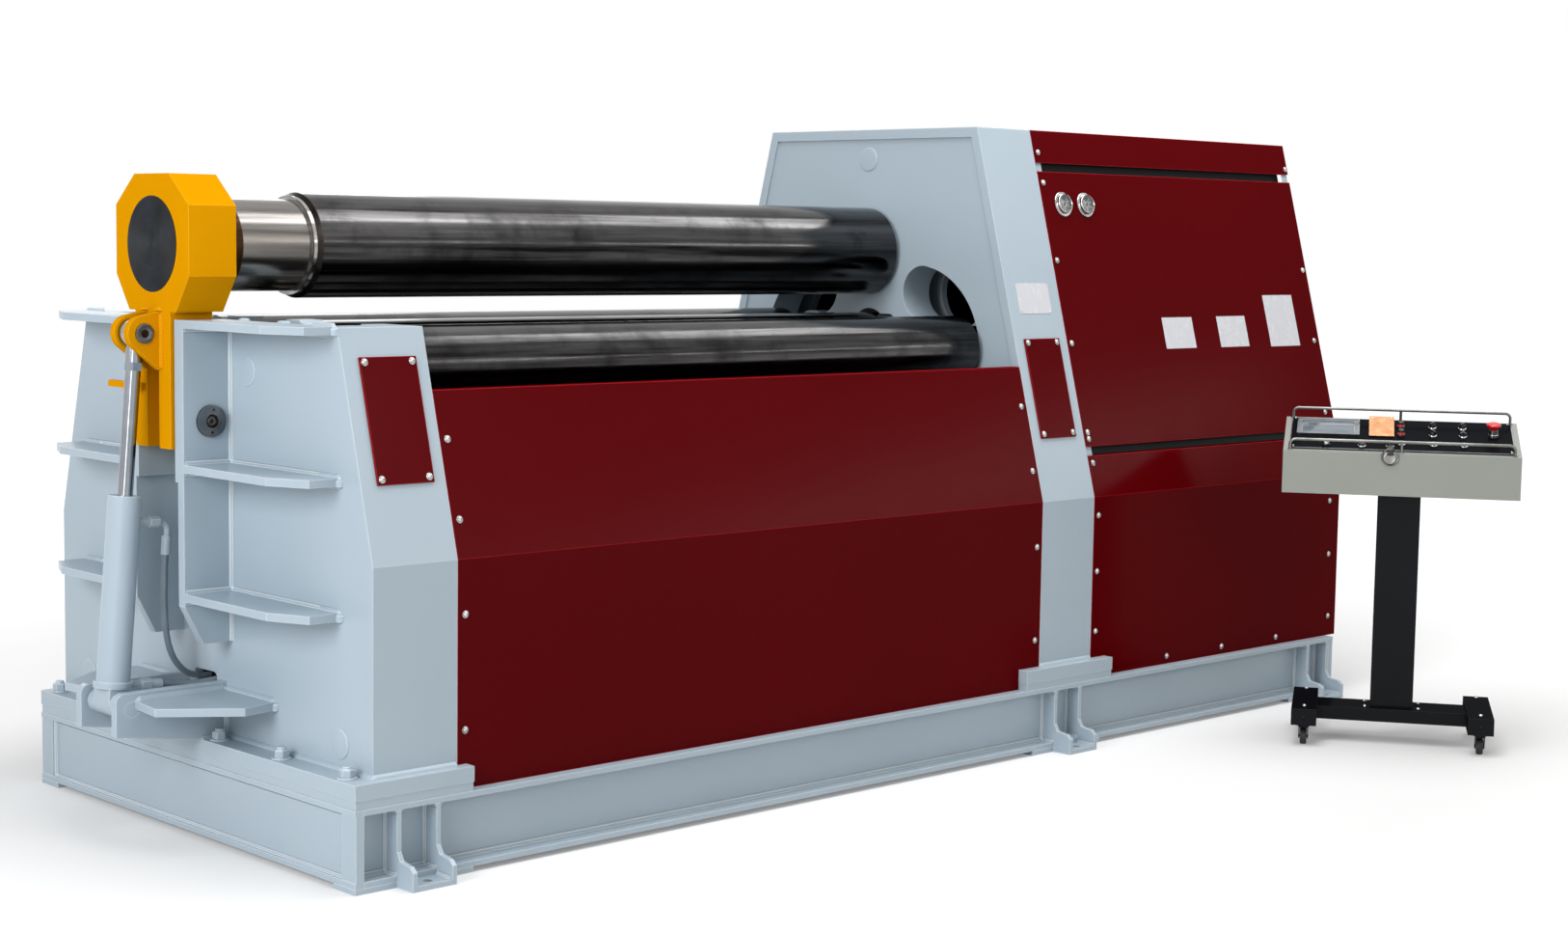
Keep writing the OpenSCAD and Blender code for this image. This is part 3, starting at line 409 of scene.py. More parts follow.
def rollSurface(mat, place, look):
    # forged roll steel, ground and kept under oil: long streaks and mottling along the barrel,
    # and, on the top roll, a bright journal, a dark greasy end and a polished collar
    along = put(mat, "Mapping", {"Vector": place, "Scale": (0.6, 20, 20)})
    streak = put(mat, "TexNoise", (along, 1, 7, 0.62))
    patch = put(mat, "TexNoise", (place, 5, 6, 0.62))
    around = put(mat, "Mapping", {"Vector": place, "Scale": (260, 2, 2)})
    rings = put(mat, "TexNoise", (around, 1, 3))
    worn = put(mat, "MapRange", (streak, 0.36, 0.66))
    tone = put(mat, "Mix", (worn, *look["tones"]), data_type="RGBA")
    oiled = put(mat, "MapRange", (patch, 0.48, 0.66, 0, look["oilShare"]))
    tone = put(mat, "Mix", (oiled, tone, look["oil"]), data_type="RGBA")
    rough = put(mat, "MapRange", (patch, 0.3, 0.7, *look["rough"]))
    change = put(mat, "MapRange", (streak, 0, 1, -0.08, 0.08))
    rough = put(mat, "Math", (rough, change), operation="ADD")
    if "zones" in look:
        x = put(mat, "SeparateXYZ", [place])
    for at, fade, zoneTones, polish in look.get("zones", ()):  # each holds left of its place
        here = put(mat, "MapRange", (x, at, at + fade, 1, 0))
        zone = put(mat, "Mix", (worn, *zoneTones), data_type="RGBA")
        tone = put(mat, "Mix", (here, tone, zone), data_type="RGBA")
        sheen = put(mat, "MapRange", (streak, 0.3, 0.7, polish, polish + 0.12))
        rough = put(mat, "Mix", (here, rough, sheen))
    turned = put(mat, "Bump", {"Height": rings, "Distance": 0.00002})
    return put(mat, "BsdfPrincipled", {"Base Color": tone, "Roughness": rough, "Normal": turned,
        "Metallic": 1})


barrelLook = {"tones": ("#131212", "#5f5e5e"), "oil": "#0d0c0c", "oilShare": 0.7,
    "rough": (0.09, 0.24)}
rollSteel = material("oiledRollSteel", rollSurface, barrelLook)
collarX = innerX + 0.004  # left side of the collar beside the top roll's barrel
topRollSteel = material("groundJournalSteel", rollSurface, {**barrelLook, "zones": (
    (collarX + 0.021, 0.004, ("#12100f", "#2b2724"), 0.28),  # chamfer of the barrel
    (collarX + 0.0095, 0.0005, ("#8f8c89", "#b7b4b0"), 0.1),  # collar
    (collarX - 0.003, 0.0005, ("#4b4846", "#97938f"), 0.14),  # journal
    (leftX + 0.044, 0.003, ("#1a110b", "#4a3220"), 0.3))})  # greasy end


def turnedFace(mat, place, look):
    # a disc faced on a lathe: fine rings round its centre that catch light as arcs, and a painted shade: a black
    # dot at the centre for the dark of a centre hole
    off = put(mat, "VectorMath", (place, look["centre"]), operation="SUBTRACT")
    flat = put(mat, "VectorMath", (off, look["flat"]), operation="MULTIPLY")
    reach = put(mat, "VectorMath", [flat], operation="LENGTH")
    spaced = put(mat, "Math", (reach, 1000 / look["ringMm"]), operation="MULTIPLY")
    rings = put(mat, "TexNoise", {"W": spaced, "Detail": 4, "Scale": 1}, noise_dimensions="1D")
    drift = put(mat, "TexNoise", (place, 12, 3))
    share = put(mat, "Math", (rings, drift), operation="MULTIPLY")
    share = put(mat, "MapRange", (share, 0.15, 0.38))
    tone = put(mat, "Mix", (share, *look["tones"]), data_type="RGBA")
    # painted shade: a black dot where a centre hole would be dark
    holeShade = put(mat, "MapRange", (reach, look["pipMm"] / 1000, look["pipMm"] / 1000 + 0.001))
    tone = put(mat, "Mix", (holeShade, "#050505", tone), data_type="RGBA")
    rough = put(mat, "MapRange", (rings, 0.3, 0.7, 0.3, 0.48))
    bump = put(mat, "Bump", {"Height": rings, "Distance": 0.00008})
    grain = put(mat, "Tangent", direction_type="RADIAL", axis=look["axis"])
    return put(mat, "BsdfPrincipled", {"Base Color": tone, "Roughness": rough, "Metallic": 1,
        "Normal": bump, "Tangent": grain, "Anisotropic": 0.75})


capSteel = material("blackedTurnedSteel", turnedFace, {  # cap of the head: dark with oil
    "centre": (0, 0, topZ), "flat": (0, 1, 1), "axis": "X", "ringMm": 3, "pipMm": 2.5,
    "tones": ("#0d1014", "#2a3037")})
hingeSteel = material("brightTurnedSteel", turnedFace, {  # flanges of the hinge pin: clean
    "centre": (hinge[0], 0, hinge[2]), "flat": (1, 0, 1), "axis": "Y", "ringMm": 2, "pipMm": 1,
    "tones": ("#4b4d50", "#898c90")})


def mouldedPolymer(mat, place, look):
    # moulded plastic or rubber: an even colour with a fine spark-eroded grain, drawn coarser
    # than the real tenth of a millimetre so that it shows, and a rubbed drift in its gloss
    wide, deep = look["grainMm"]
    grain = put(mat, "TexNoise", (place, 1000 / wide, 2))
    rubbed = put(mat, "TexNoise", (place, 25, 3))
    tone = put(mat, "Mix", (rubbed, *look["tones"]), data_type="RGBA")
    rough = put(mat, "MapRange", (rubbed, 0.3, 0.7, look["rough"] - 0.05, look["rough"] + 0.08))
    bump = put(mat, "Bump", {"Height": grain, "Distance": deep / 1000})
    return put(mat, "BsdfPrincipled", {"Base Color": tone, "Roughness": rough, "Normal": bump,
        "IOR": look["ior"]})


# grainMm: spacing and depth of the grain
(blackKnob, redKnob, tyreRubber, hubPlastic, hoseRubber, dialCard, laminated, displayGlass,
 blackHide) = family(mouldedPolymer, ("tones", "rough", "grainMm", "ior"), {
    "blackNylon": (("#0b0b0c", "#161617"), 0.3, (0.8, 0.01), 1.53),
    "redAbs": (("#c30d16", "#d5141d"), 0.28, (0.8, 0.01), 1.54),
    "blackTyreRubber": (("#121212", "#1d1d1d"), 0.6, (1.2, 0.04), 1.52),
    "greyHubNylon": (("#7d7e7d", "#8e8f8e"), 0.42, (1, 0.02), 1.53),
    "oversprayedHoseRubber": (("#5d6a74", "#788691"), 0.4, (2.5, 0.12), 1.5),
    "whiteDialCard": (("#bfc0be", "#cbccca"), 0.5, (0.8, 0.005), 1.5),
    "laminatedPaper": (("#bfc0c6", "#c9cacf"), 0.24, (30, 0.05), 1.5),
    "greyDisplayGlass": (("#5a656c", "#6f7a83"), 0.12, (40, 0.05), 1.5),
    "blackLeatherTag": (("#131211", "#1f1d1b"), 0.5, (1.5, 0.15), 1.5)})


def clearPane(mat, place, look):  # gauge glass: clear, polished, a faint unevenness from pouring
    wave = put(mat, "TexNoise", (place, look["wavesPerM"]))
    bump = put(mat, "Bump", {"Height": wave, "Distance": look["deepMm"] / 1000})
    return put(mat, "BsdfPrincipled", {"Base Color": "#ffffff", "Roughness": look["rough"],
        "Transmission Weight": 1, "IOR": look["ior"], "Normal": bump})


gaugeGlass = material("clearGaugeGlass", clearPane, {"wavesPerM": 30, "deepMm": 0.02,
    "rough": 0.03, "ior": 1.45})

finishes = {
    "frame_paint": frameEnamel, "cover_paint": coverEnamel, "housing_paint": housingCoat,
    "head_paint": headEnamel, "roll_steel": rollSteel, "cap_steel": capSteel,
    "pin_steel": oiledSteel, "rod_chrome": hardChrome, "rail_chrome": drawnWire,
    "gauge_steel": stainless, "desk_paint": deskCoat, "desk_black": blackCoat,
    "control_plastic": blackKnob, "fork_steel": blackZinc, "wheel_rubber": tyreRubber,
    "hose_rubber": hoseRubber}
ofNode = {part["node"]: finishes[part["material_slot"]] for part in frame["record"]["subparts"]}
for name, mat in {**ofNode, "top_roll": topRollSteel, "hinge_pin": hingeSteel}.items():
    for spot in frame["nodes"][name].material_slots:
        spot.material = mat
print("materials on the frame")

hoses = {"diameter": 0.016, "sides": 14, "between": 4,
    "upperLength": 0.417, "lowerLength": 0.17}
# routes from the fittings into the hole in the left frame, measured from the frame's outside
upperRoute = (
    (-0.1105, 0, 0.7148), (-0.113, 0, 0.684), (-0.114, 0, 0.656), (-0.115, 0, 0.628),
    (-0.115, 0, 0.6), (-0.114, 0, 0.572), (-0.113, 0.001, 0.544), (-0.109, 0.002, 0.516),
    (-0.103, 0.004, 0.489), (-0.093, 0.007, 0.464), (-0.079, 0.011, 0.441),
    (-0.061, 0.017, 0.422), (-0.04, 0.024, 0.407), (-0.017, 0.03, 0.398),
    (0.008, 0.034, 0.393), (0.034, 0.037, 0.391))
lowerRoute = (
    (-0.1267, 0, 0.39115), (-0.102, 0, 0.38915), (-0.082, -0.004, 0.387),
    (-0.063, -0.011, 0.386), (-0.044, -0.019, 0.386), (-0.025, -0.027, 0.388),
    (-0.006, -0.035, 0.391), (0.014, -0.042, 0.394), (0.034, -0.046, 0.396))


def drawHose(bm, look):
    sweep(bm, look["line"], look["diameter"] / 2, look["sides"])


def makeHose(name, route, node, look):
    line = rounded([(x + leftX, y, z) for x, y, z in route], look["between"])
    hose = addPiece(name, drawHose, {**look, "line": line}, [hoseRubber], None, 60)
    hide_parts(node)
    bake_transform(hose)


makeHose("upperHose", upperRoute, "upper_hose", hoses)
makeHose("lowerHose", lowerRoute, "lower_hose", hoses)
print("hoses laid")

# shelves: height of the top and reach of each; tip, edge: beads at the shelves' tips and edges
welds = {"fillet": 0.009, "bead": 0.0095, "tip": 0.01235, "edge": 0.00855, "edgeLong": 0.09,
    "root": 0.011, "ripple": 0.07, "plate": 0.02, "ribY": 0.13, "frameY": 0.104,
    "shelves": ((0.632, 0.612), (0.95, 0.612), (highOf["frame_ribs"].z, 0.59)),
    "bracketY": 0.1, "bracketLong": 0.25, "bracketTop": 0.358, "bracketTip": 0.33,
    "lumps": ((0.012, -0.173, 0.014), (0.013, -0.351, 0.017), (0.012, -0.46, 0.013)),
    "lumpHigh": 0.007}


def drawFrameWelds(bm, look):
    fillet, even, tip, edge, root, ripple = pick(look, "fillet bead tip edge root ripple")
    plate, ribY, bracketY, under, bracketTip = pick(
        look, "plate ribY bracketY bracketTop bracketTip")
    ribX, low = lowOf["frame_ribs"].x, lowOf["frame_ribs"].z
    lastTop = look["shelves"][-1][0]
    for s in across:
        wide = (0, s, 0)
        start = low
        for top, reach in look["shelves"]:  # ribs on the frame plate
            seam(bm, (leftX, s * ribY, start), "z", top - plate, outward, wide, fillet)
            start = top
        for top, reach in look["shelves"][::-1]:
            for z, way in ((top, 1), (top - plate, -1)):
                if z != lastTop:
                    seam(bm, (leftX, s * ribY, z), "y", s * (reach - 0.01), outward, (0, 0, way),
                        fillet)
                    seam(bm, (leftX, s * ribY, z), "x", ribX + 0.004, wide, (0, 0, way), root)
            seam(bm, (leftX, s * reach, top - plate - 0.006), "z", top + 0.001, outward, wide,
                tip, ripple)
            seam(bm, (leftX, s * (reach - look["edgeLong"]), top), "y", s * (reach + 0.004),
                outward, upward, edge, ripple)
        # frame on its sole plate
        seam(bm, (leftX, s * look["frameY"], soleTop), "y", s * frameHalf, outward, upward, even,
            ripple)
        for x0, x1 in ((leftX - 0.006, innerX), (driveX, cabX)):
            seam(bm, (x0, s * frameHalf, soleTop), "x", x1, wide, upward, even, ripple)
        # cylinder bracket plates and their shelves
        foot = leftX, s * bracketY, soleTop
        seam(bm, foot, "z", under, outward, wide, fillet)
        seam(bm, foot, "x", lowOf["sole_plates"].x, wide, upward, fillet)
        for z, way, size, wavy in ((under, -1, fillet, 0), (under + plate, 1, even, ripple)):
            corner = leftX, s * bracketY, z
            seam(bm, corner, "x", leftX - look["bracketLong"], wide, (0, 0, way), size, wavy)
            seam(bm, corner, "y", s * bracketTip, outward, (0, 0, way), size, wavy)
        seam(bm, (leftX, s * bracketTip, under - 0.006), "z", under + plate + 0.001, outward,
            wide, tip, ripple)
    h = look["lumpHigh"]
    for inset, y, r in look["lumps"]:  # rounded lumps of weld on top of the left frame
        lathe(bm, [(r, -0.001), (r * 0.97, h * 0.5), (r * 0.8, h * 0.86), (r * 0.45, h), (0, h)],
            aim(upward, (leftX + inset, y, highOf["left_frame"].z)), 14)


beams = {"root": 0.011, "small": 0.0077, "flange": 0.014, "web": 0.006, "half": 0.055,
    "post": 0.06, "endWeb": 0.013, "gusset": (0.05, 0.062), "footWide": 0.06,
    "feet": (lowOf["base_end_beams"].x + 0.178, driveX + 0.1,
        highOf["base_end_beams"].x - 0.088)}


def drawBeamFillets(bm, look):  # rolled root radii of the beams and the welds of the feet
    root, small, flange, post = pick(look, "root small flange post")
    near, far = look["gusset"]
    low, high = lowOf["base_side_beams"], highOf["base_side_beams"]
    bottom, top = low.z + flange, high.z - flange
    for edge, s in ((low.y, -1), (high.y, 1)):
        mid = edge - s * look["half"]
        for z, way in ((bottom, 1), (top, -1)):
            for face in (-1, 1):
                seam(bm, (low.x, mid + face * look["web"], z), "x", high.x, (0, face, 0),
                    (0, 0, way), root)
        y = mid + s * look["web"]
        for foot in look["feet"]:
            for x, turned in ((foot - far, -1), (foot - near, 1), (foot + near, -1),
                    (foot + far, 1)):
                side = turned, 0, 0
                seam(bm, (x, y, bottom), "z", top, side, (0, s, 0), small)
                seam(bm, (x, y, top), "y", edge, side, (0, 0, -1), root)
                seam(bm, (x, y, bottom), "y", edge, side, upward, small)
            for x, turned in ((foot - near, 1), (foot + near, -1)):
                seam(bm, (x, edge, flange), "y", edge + s * look["footWide"], (turned, 0, 0),
                    upward, small)
    front, back = low.y + post, high.y - post
    for x, turned in ((lowOf["base_end_beams"].x + look["endWeb"], -1),
            (highOf["base_end_beams"].x - look["endWeb"], 1)):
        side = turned, 0, 0
        for z, way in ((bottom, 1), (top, -1)):
            seam(bm, (x, front, z), "y", back, side, (0, 0, way), small)
        for y, way in ((front, 1), (back, -1)):
            seam(bm, (x, y, bottom), "z", top, side, (0, way, 0), small)


plugs = {"radius": 0.037, "height": 0.003, "left": ((0.206, 1.18), (0.608, 0.319)),
    "drive": (0.013, 1.774), "driveInset": 0.008}
holdDown = {"across": 0.037, "washer": 0.024, "spots": (0.135, 0.419, 0.7), "in": 0.041}


def drawPlugs(bm, look):  # round plugs welded flush into the frame plates and painted over
    r, h = look["radius"], look["height"]
    spots = [(leftX, s * y, z) for s in across for y, z in look["left"]]
    for spot in spots + [(driveX + look["driveInset"], *look["drive"])]:
        lathe(bm, [(r, -0.001), (r, h * 0.55), (r - 0.0012, h * 0.9), (r - 0.003, h), (0, h)],
            aim(outward, spot), 40)


def drawHoldDownBolts(bm, look):  # studs with nuts and washers on the left sole plate
    r, w = look["across"] / 2, look["washer"]
    for s in across:
        for y in look["spots"]:
            spot = shift(leftX - look["in"], s * y, soleTop)
            lathe(bm, [(w, 0), (w, 0.003), (w - 0.001, 0.004), (0, 0.004)], spot, 28)
            turned = spot @ turnZ(dice.uniform(0, 1))
            lathe(bm, [(r * 0.9, 0.004), (r, 0.0055), (r, 0.0215), (r * 0.88, 0.0235),
                (0.0125, 0.0238), (0, 0.0238)], turned, 6)
            lathe(bm, [(0.0115, 0.023), (0.0115, 0.0285), (0.01, 0.03), (0, 0.03)], spot, 20)


def addToFrame(name, draw, look, sharp=35):  # a piece painted with the frame
    addPiece(name, draw, look, [frameEnamel], "machine", sharp)


addToFrame("frameWelds", drawFrameWelds, welds, 50)
addToFrame("beamFillets", drawBeamFillets, beams, 50)
addToFrame("framePlugs", drawPlugs, plugs)
addToFrame("holdDownBolts", drawHoldDownBolts, holdDown, 30)
print("welds, plugs and bolts made")

screws = {"washer": 0.0092, "dome": 0.0072, "height": 0.0066,
    "middle": (1.034, 0.845, 0.62, 0.34), "middleIn": 0.023, "cabIn": 0.022,
    "cabLeft": (1.798, 1.705, 1.467, 1.215, 0.946, 0.926, 0.854, 0.696, 0.524, 0.339),
    "cabBottom": (0.091, 0.382, 0.672, 0.973), "bottomZ": 0.223,
    "cabRight": ((0.01, 1.784), (0.002, 1.439), (-0.008, 1.2), (-0.022, 0.959),
        (-0.058, 0.662), (-0.053, 0.479), (-0.045, 0.265)),
    "plates": (leftX + 0.045, driveX + 0.04), "plateXs": (0.013, 0.147),
    "plateZs": (0.949, 1.219), "plateThick": 0.005,
    "end": (0.3, 0.62, 0.94, 1.26, 1.58), "endIn": 0.055}


def screwAt(bm, place, look, mat=0):
    w, d, h = look["washer"], look["dome"], look["height"]
    lathe(bm, [(w, 0), (w, 0.0012), (w - 0.0006, 0.0018), (d, 0.0018), (d * 0.98, 0.0035),
        (d * 0.82, 0.0052), (d * 0.55, h - 0.0004), (0.003, h), (0.0027, h - 0.0022),
        (0, h - 0.0022)], place, 16, mat)


def drawPanelScrews(bm, look):
    inset = look["middleIn"]
    spots = [(x, z, 0) for x in (innerX + inset, driveX - inset) for z in look["middle"]]
    spots += [(cabX + look["cabIn"], z, 0) for z in look["cabLeft"]]
    spots += [(cabX + x, look["bottomZ"], 0) for x in look["cabBottom"]]
    spots += [(cabEnd + x, z, 0) for x, z in look["cabRight"]]
    spots += [(low + x, z, look["plateThick"]) for low in look["plates"] for x in look["plateXs"]
        for z in look["plateZs"]]
    for s in across:
        for x, z, proud in spots:
            screwAt(bm, onFace(x, z, proud, s, dice.random()), look)
        for z in look["end"]:
            screwAt(bm, aim((1, 0, 0), (cabEnd, s * (depthAt(z) - look["endIn"]), z)), look)


vents = {"left": cabX + 0.018, "gaps": ((1.7525, cabEnd + 0.006), (0.8895, cabEnd - 0.018)),
    "height": 0.022, "width": 0.03, "back": 0.007}


def drawVentBrackets(bm, look):  # folded brackets that bridge the vent gaps at both ends
    high, back = look["height"], look["back"]
    for s in across:
        for z, right in look["gaps"]:
            for x in (look["left"], right):
                slab(bm, (look["width"], high + 0.03, 0.003), onFace(x, z, -back, s))
                slab(bm, (0.003, high, 0.016), onFace(x + 0.012, z, -back - 0.008, s))


sheets = {"thick": 0.0004, "spots": ((1.2345, 1.238, 0.157, 0.102), (1.5245, 1.238, 0.156, 0.103),
        (1.809, 1.27, 0.168, 0.176))}
plate = {"spot": (0.547, 1.352), "size": (0.148, 0.094), "thick": 0.001, "corner": 0.008,
    "rivetIn": 0.007}


def drawSheets(bm, look):  # blank laminated sheets stuck on the front cover
    for x, z, w, h in look["spots"]:
        slab(bm, (w, h, look["thick"]), onFace(x, z, look["thick"] / 2), 0.0001, 0, 1)


def drawBlankPlate(bm, look):  # a blank data plate with rounded corners on the drive frame
    w, h = (side / 2 for side in look["size"])
    r, back = look["corner"], look["rivetIn"]
    outline = []
    for quarter, (sx, sy) in enumerate(((1, 1), (-1, 1), (-1, -1), (1, -1))):
        for k in range(5):
            t = pi / 2 * (quarter + k / 4)
            outline.append((sx * (w - r) + r * cos(t), sy * (h - r) + r * sin(t)))
    prism(bm, outline, look["thick"], onFace(*look["spot"], 0.0001), 0, 0.0003, 1)
    for sx, sy in corners:
        lathe(bm, [(0.003, 0.001), (0.0026, 0.0019), (0, 0.0024)],
            onFace(*look["spot"]) @ shift(sx * (w - back), sy * (h - back)), 12, 1)


addPiece("panelScrews", drawPanelScrews, screws, [zincSteel], "machine", 40)
addToFrame("ventBrackets", drawVentBrackets, vents)
addPiece("blankSheets", drawSheets, sheets, [laminated], "machine")
addPiece("blankPlate", drawBlankPlate, plate, [laminated, stainless], "machine")

gauges = {"spots": (0.098, 0.206), "z": 1.64, "rim": 0.039, "dial": 0.0295, "sweep": 270,
    "majors": 10, "minors": 5, "needle": 38}


def drawGauges(bm, look):  # liquid-filled gauges: polished case, white dial, black ticks
    case, card, ink, glass = range(4)
    r, d, arc = pick(look, "rim dial sweep")
    for along in look["spots"]:
        spot = onFace(cabX + along, look["z"])
        lathe(bm, [(r, 0), (r, 0.0025), (r - 0.001, 0.0035), (r - 0.0065, 0.0038),
            (r - 0.0072, 0.005), (r - 0.0074, 0.0115), (r - 0.0082, 0.0132), (r - 0.0092, 0.0138),
            (d - 0.0005, 0.0122), (d - 0.001, 0.0065), (d - 0.001, 0)], spot, 56, case)
        lathe(bm, [(d, 0.004), (d, 0.006), (0, 0.006)], spot, 56, card)
        lathe(bm, [(d, 0.006), (d, 0.0068), (d - 0.0028, 0.0068), (d - 0.0028, 0.006)], spot,
            56, ink)
        lathe(bm, [(d - 0.0005, 0.0104), (d - 0.0005, 0.0112), (d * 0.6, 0.012), (0, 0.0124)],
            spot, 40, glass)
        count = look["majors"] * look["minors"]
        for k in range(count + 1):
            long, wide = (0.0052, 0.0012) if k % look["minors"] == 0 else (0.003, 0.0006)
            spin = turnZ(radians(arc / 2 - arc * k / count))
            slab(bm, (wide, long, 0.0003), spot @ spin @ shift(0, d - 0.0045 - long / 2, 0.0062),
                0, ink)
        spin = turnZ(-radians(look["needle"]))
        prism(bm, [(-0.0016, -0.009), (0.0016, -0.009), (0.0007, 0.02), (-0.0007, 0.02)], 0.0008,
            spot @ spin @ shift(0, 0, 0.0072), ink)
        lathe(bm, [(0.0032, 0.006), (0.0032, 0.0086), (0.002, 0.0093), (0, 0.0093)], spot, 20,
            ink)


piece = addPiece("gaugePair", drawGauges, gauges, [stainless, dialCard, blackKnob, gaugeGlass],
    "machine")
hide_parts("pressure_gauges")
print("covers dressed")

head = {"stem": 0.084, "lug": 0.044, "lugLow": 1.18, "under": 1.322, "ripple": 0.12,
    "bead": 0.0075}
sealing = {"face": headX + 0.13, "steps": 64}
clevis = {"x": headX - 0.047, "z": 1.268, "out": 0.047}
flanges = {"out": 0.139, "screws": ((0.004, 0.028), (0, -0.028)), "deep": 0.0045}


def drawHeadWelds(bm, look):
    stem, lug, under, even, ripple = pick(look, "stem lug under bead ripple")
    for s in across:
        wide = (0, s, 0)
        seam(bm, (headX, s * lug, look["lugLow"]), "z", under - 0.004, outward, wide, even, ripple)
        seam(bm, (headX, s * 0.02, under + 0.002), "y", s * 0.05, outward, upward, even * 1.3,
            ripple)
        seam(bm, (headX + 0.004, s * stem, under), "x", headX + 0.112, wide, (0, 0, -1), even,
            ripple)


def drawHeadSeal(bm, look):  # greasy seal ring round the mouth of the bearing head
    lathe(bm, [(0.107, -0.002), (0.107, 0.0265), (0.109, 0.028), (0.1125, 0.0265), (0.1145, 0.02),
        (0.115, 0.013), (0.1145, 0.006), (0.113, 0.003), (0.113, -0.001), (0.107, -0.002)],
        aim((1, 0, 0), (look["face"], 0, topZ)), look["steps"])


# the inside of the socket is dark brown: grease and painted shade of the hollow
def socketAt(bm, place, r, deep):  # a plug with a greasy six-sided socket in it
    lathe(bm, [(r, -deep), (r, 0), (r * 0.94, 0.0006), (r * 0.58, 0.0006)], place, 24)
    lathe(bm, [(r * 0.6, 0.0007), (r * 0.56, -deep * 0.8), (0, -deep * 0.8)], place, 6, 1)


# dark brown inside the sockets: old grease and painted shade of the hollow
def drawPinEnds(bm, look):  # hexagon sockets with old grease in the ends of the clevis pin
    for s in across:
        spot = aim((0, s, 0), (look["x"], s * look["out"], look["z"]))
        lathe(bm, [(0.0245, -0.0005), (0.0245, 0.0006), (0.0225, 0.0012), (0.0135, 0.001),
            (0.0105, -0.0008), (0.01, -0.0008), (0.01, -0.0005)], spot, 40)
        lathe(bm, [(0.01, -0.0002), (0.0088, -0.0002), (0.008, -0.005), (0, -0.005)],
            spot @ turnZ(0.3), 6, 1)


def drawHingeScrews(bm, look):  # lock screws in the round flanges of the hinge pin
    for s in across:
        way = (0, s, 0)
        centre = Vector((hinge[0], s * look["out"], hinge[2]))
        for dx, dz in look["screws"]:
            socketAt(bm, aim(way, centre + Vector((dx, 0, dz))), 0.0042, 0.002)
        middle = centre - Vector((0, s * look["deep"], 0))
        # the centre recess in dark brown: grease and painted shade of the recess
        lathe(bm, [(0.0165, -0.0005), (0.0165, 0.0004), (0.0125, 0.0016), (0.0115, 0.0006),
            (0.0115, -0.0002)], aim(way, middle), 32, 1)
        socketAt(bm, aim(way, middle + Vector((0, s * 0.002, 0))), 0.0095, 0.0022)


metalsWithShadedSockets = [oiledSteel, greaseAndShadeSteel]
addPiece("headWelds", drawHeadWelds, head, [headEnamel], "drop_end_body", 50)
addPiece("headSeal", drawHeadSeal, sealing, [greaseAndShadeSteel], "drop_end_body")
addPiece("clevisSockets", drawPinEnds, clevis, metalsWithShadedSockets, "drop_end_body")
addPiece("hingeScrews", drawHingeScrews, flanges, metalsWithShadedSockets, "machine")
print("drop end dressed")

desk = {"at": (1.413, -1.338), "turn": -56.8, "width": 0.704, "depth": 0.332, "low": 0.77,
    "front": 0.13, "back": 0.21, "ahead": -0.1}
deskRise, deskLift = desk["back"] - desk["front"], desk["low"] + desk["front"]
deskLong = hypot(desk["depth"], deskRise)
deskPlace = shift(*desk["at"]) @ turnZ(radians(desk["turn"]))
deskTop = deskPlace @ shift(0, desk["ahead"], deskLift) \
    @ Matrix.Rotation(atan2(deskRise, desk["depth"]), 4, "X")
rails = {"wire": 0.0045, "height": 0.034, "corner": 0.016, "in": 0.02, "edge": 0.009,
    "sides": 14}


def drawRails(bm, look):  # two hoops of bent wire with a stay in the middle
    half = desk["width"] / 2 - look["in"]
    h, c, wire, sides = pick(look, "height corner wire sides")
    bends = [(c * cos(t), c * sin(t)) for t in (pi / 12 * k for k in range(7))]
    for y in (look["edge"], deskLong - look["edge"]):
        line = [(-half, y, 0), (-half, y, h - c - 0.002)]
        line += [(-half + c - x, y, h - c + z) for x, z in bends] + [(0, y, h)]
        line += [(half - c + z, y, h - c + x) for x, z in bends]
        line += [(half, y, h - c - 0.002), (half, y, 0)]
        sweep(bm, [deskTop @ Vector(p) for p in line], wire, sides)
        sweep(bm, [deskTop @ Vector((0, y, z)) for z in (0, 0.004, h - 0.004, h)], wire * 0.98,
            sides)
        for x in (-half, 0, half):
            lathe(bm, [(0.0075, 0), (0.0075, 0.0012), (0.0062, 0.0022), (0.0045, 0.0026)],
                deskTop @ shift(x, y), 20)


panel = {"top": 0.004, "margin": 0.018, "trim": 0.00132, "reach": 1.3,
    "display": (-0.221, 0.2225), "displaySize": (0.19, 0.155),
    "plate": (-0.059, 0.215, 0.014), "plateSize": (0.076, 0.14, 0.0012),
    "screw": {"washer": 0.0045, "dome": 0.0042, "height": 0.0036}, "screwIn": 0.011,
    "selectors": ((0.095, 0.17), (0.095, 0.25), (0.185, 0.17), (0.185, 0.25)),
    "lamps": ((0, 0.17), (0, 0.25)),
    "buttons": ((0, 0.08), (0.095, 0.08), (0.185, 0.08), (-0.118, 0.052)),
    "silver": (-0.225, 0.052), "key": (-0.034, 0.052), "stop": (0.275, 0.18)}


def bezelAt(bm, place, mat=0):  # bright threaded ring that clamps a switch to the panel
    lathe(bm, [(0.0132, 0), (0.0132, 0.0025), (0.0122, 0.004), (0.0108, 0.0044), (0.01, 0.0034),
        (0.01, 0)], place, 32, mat)


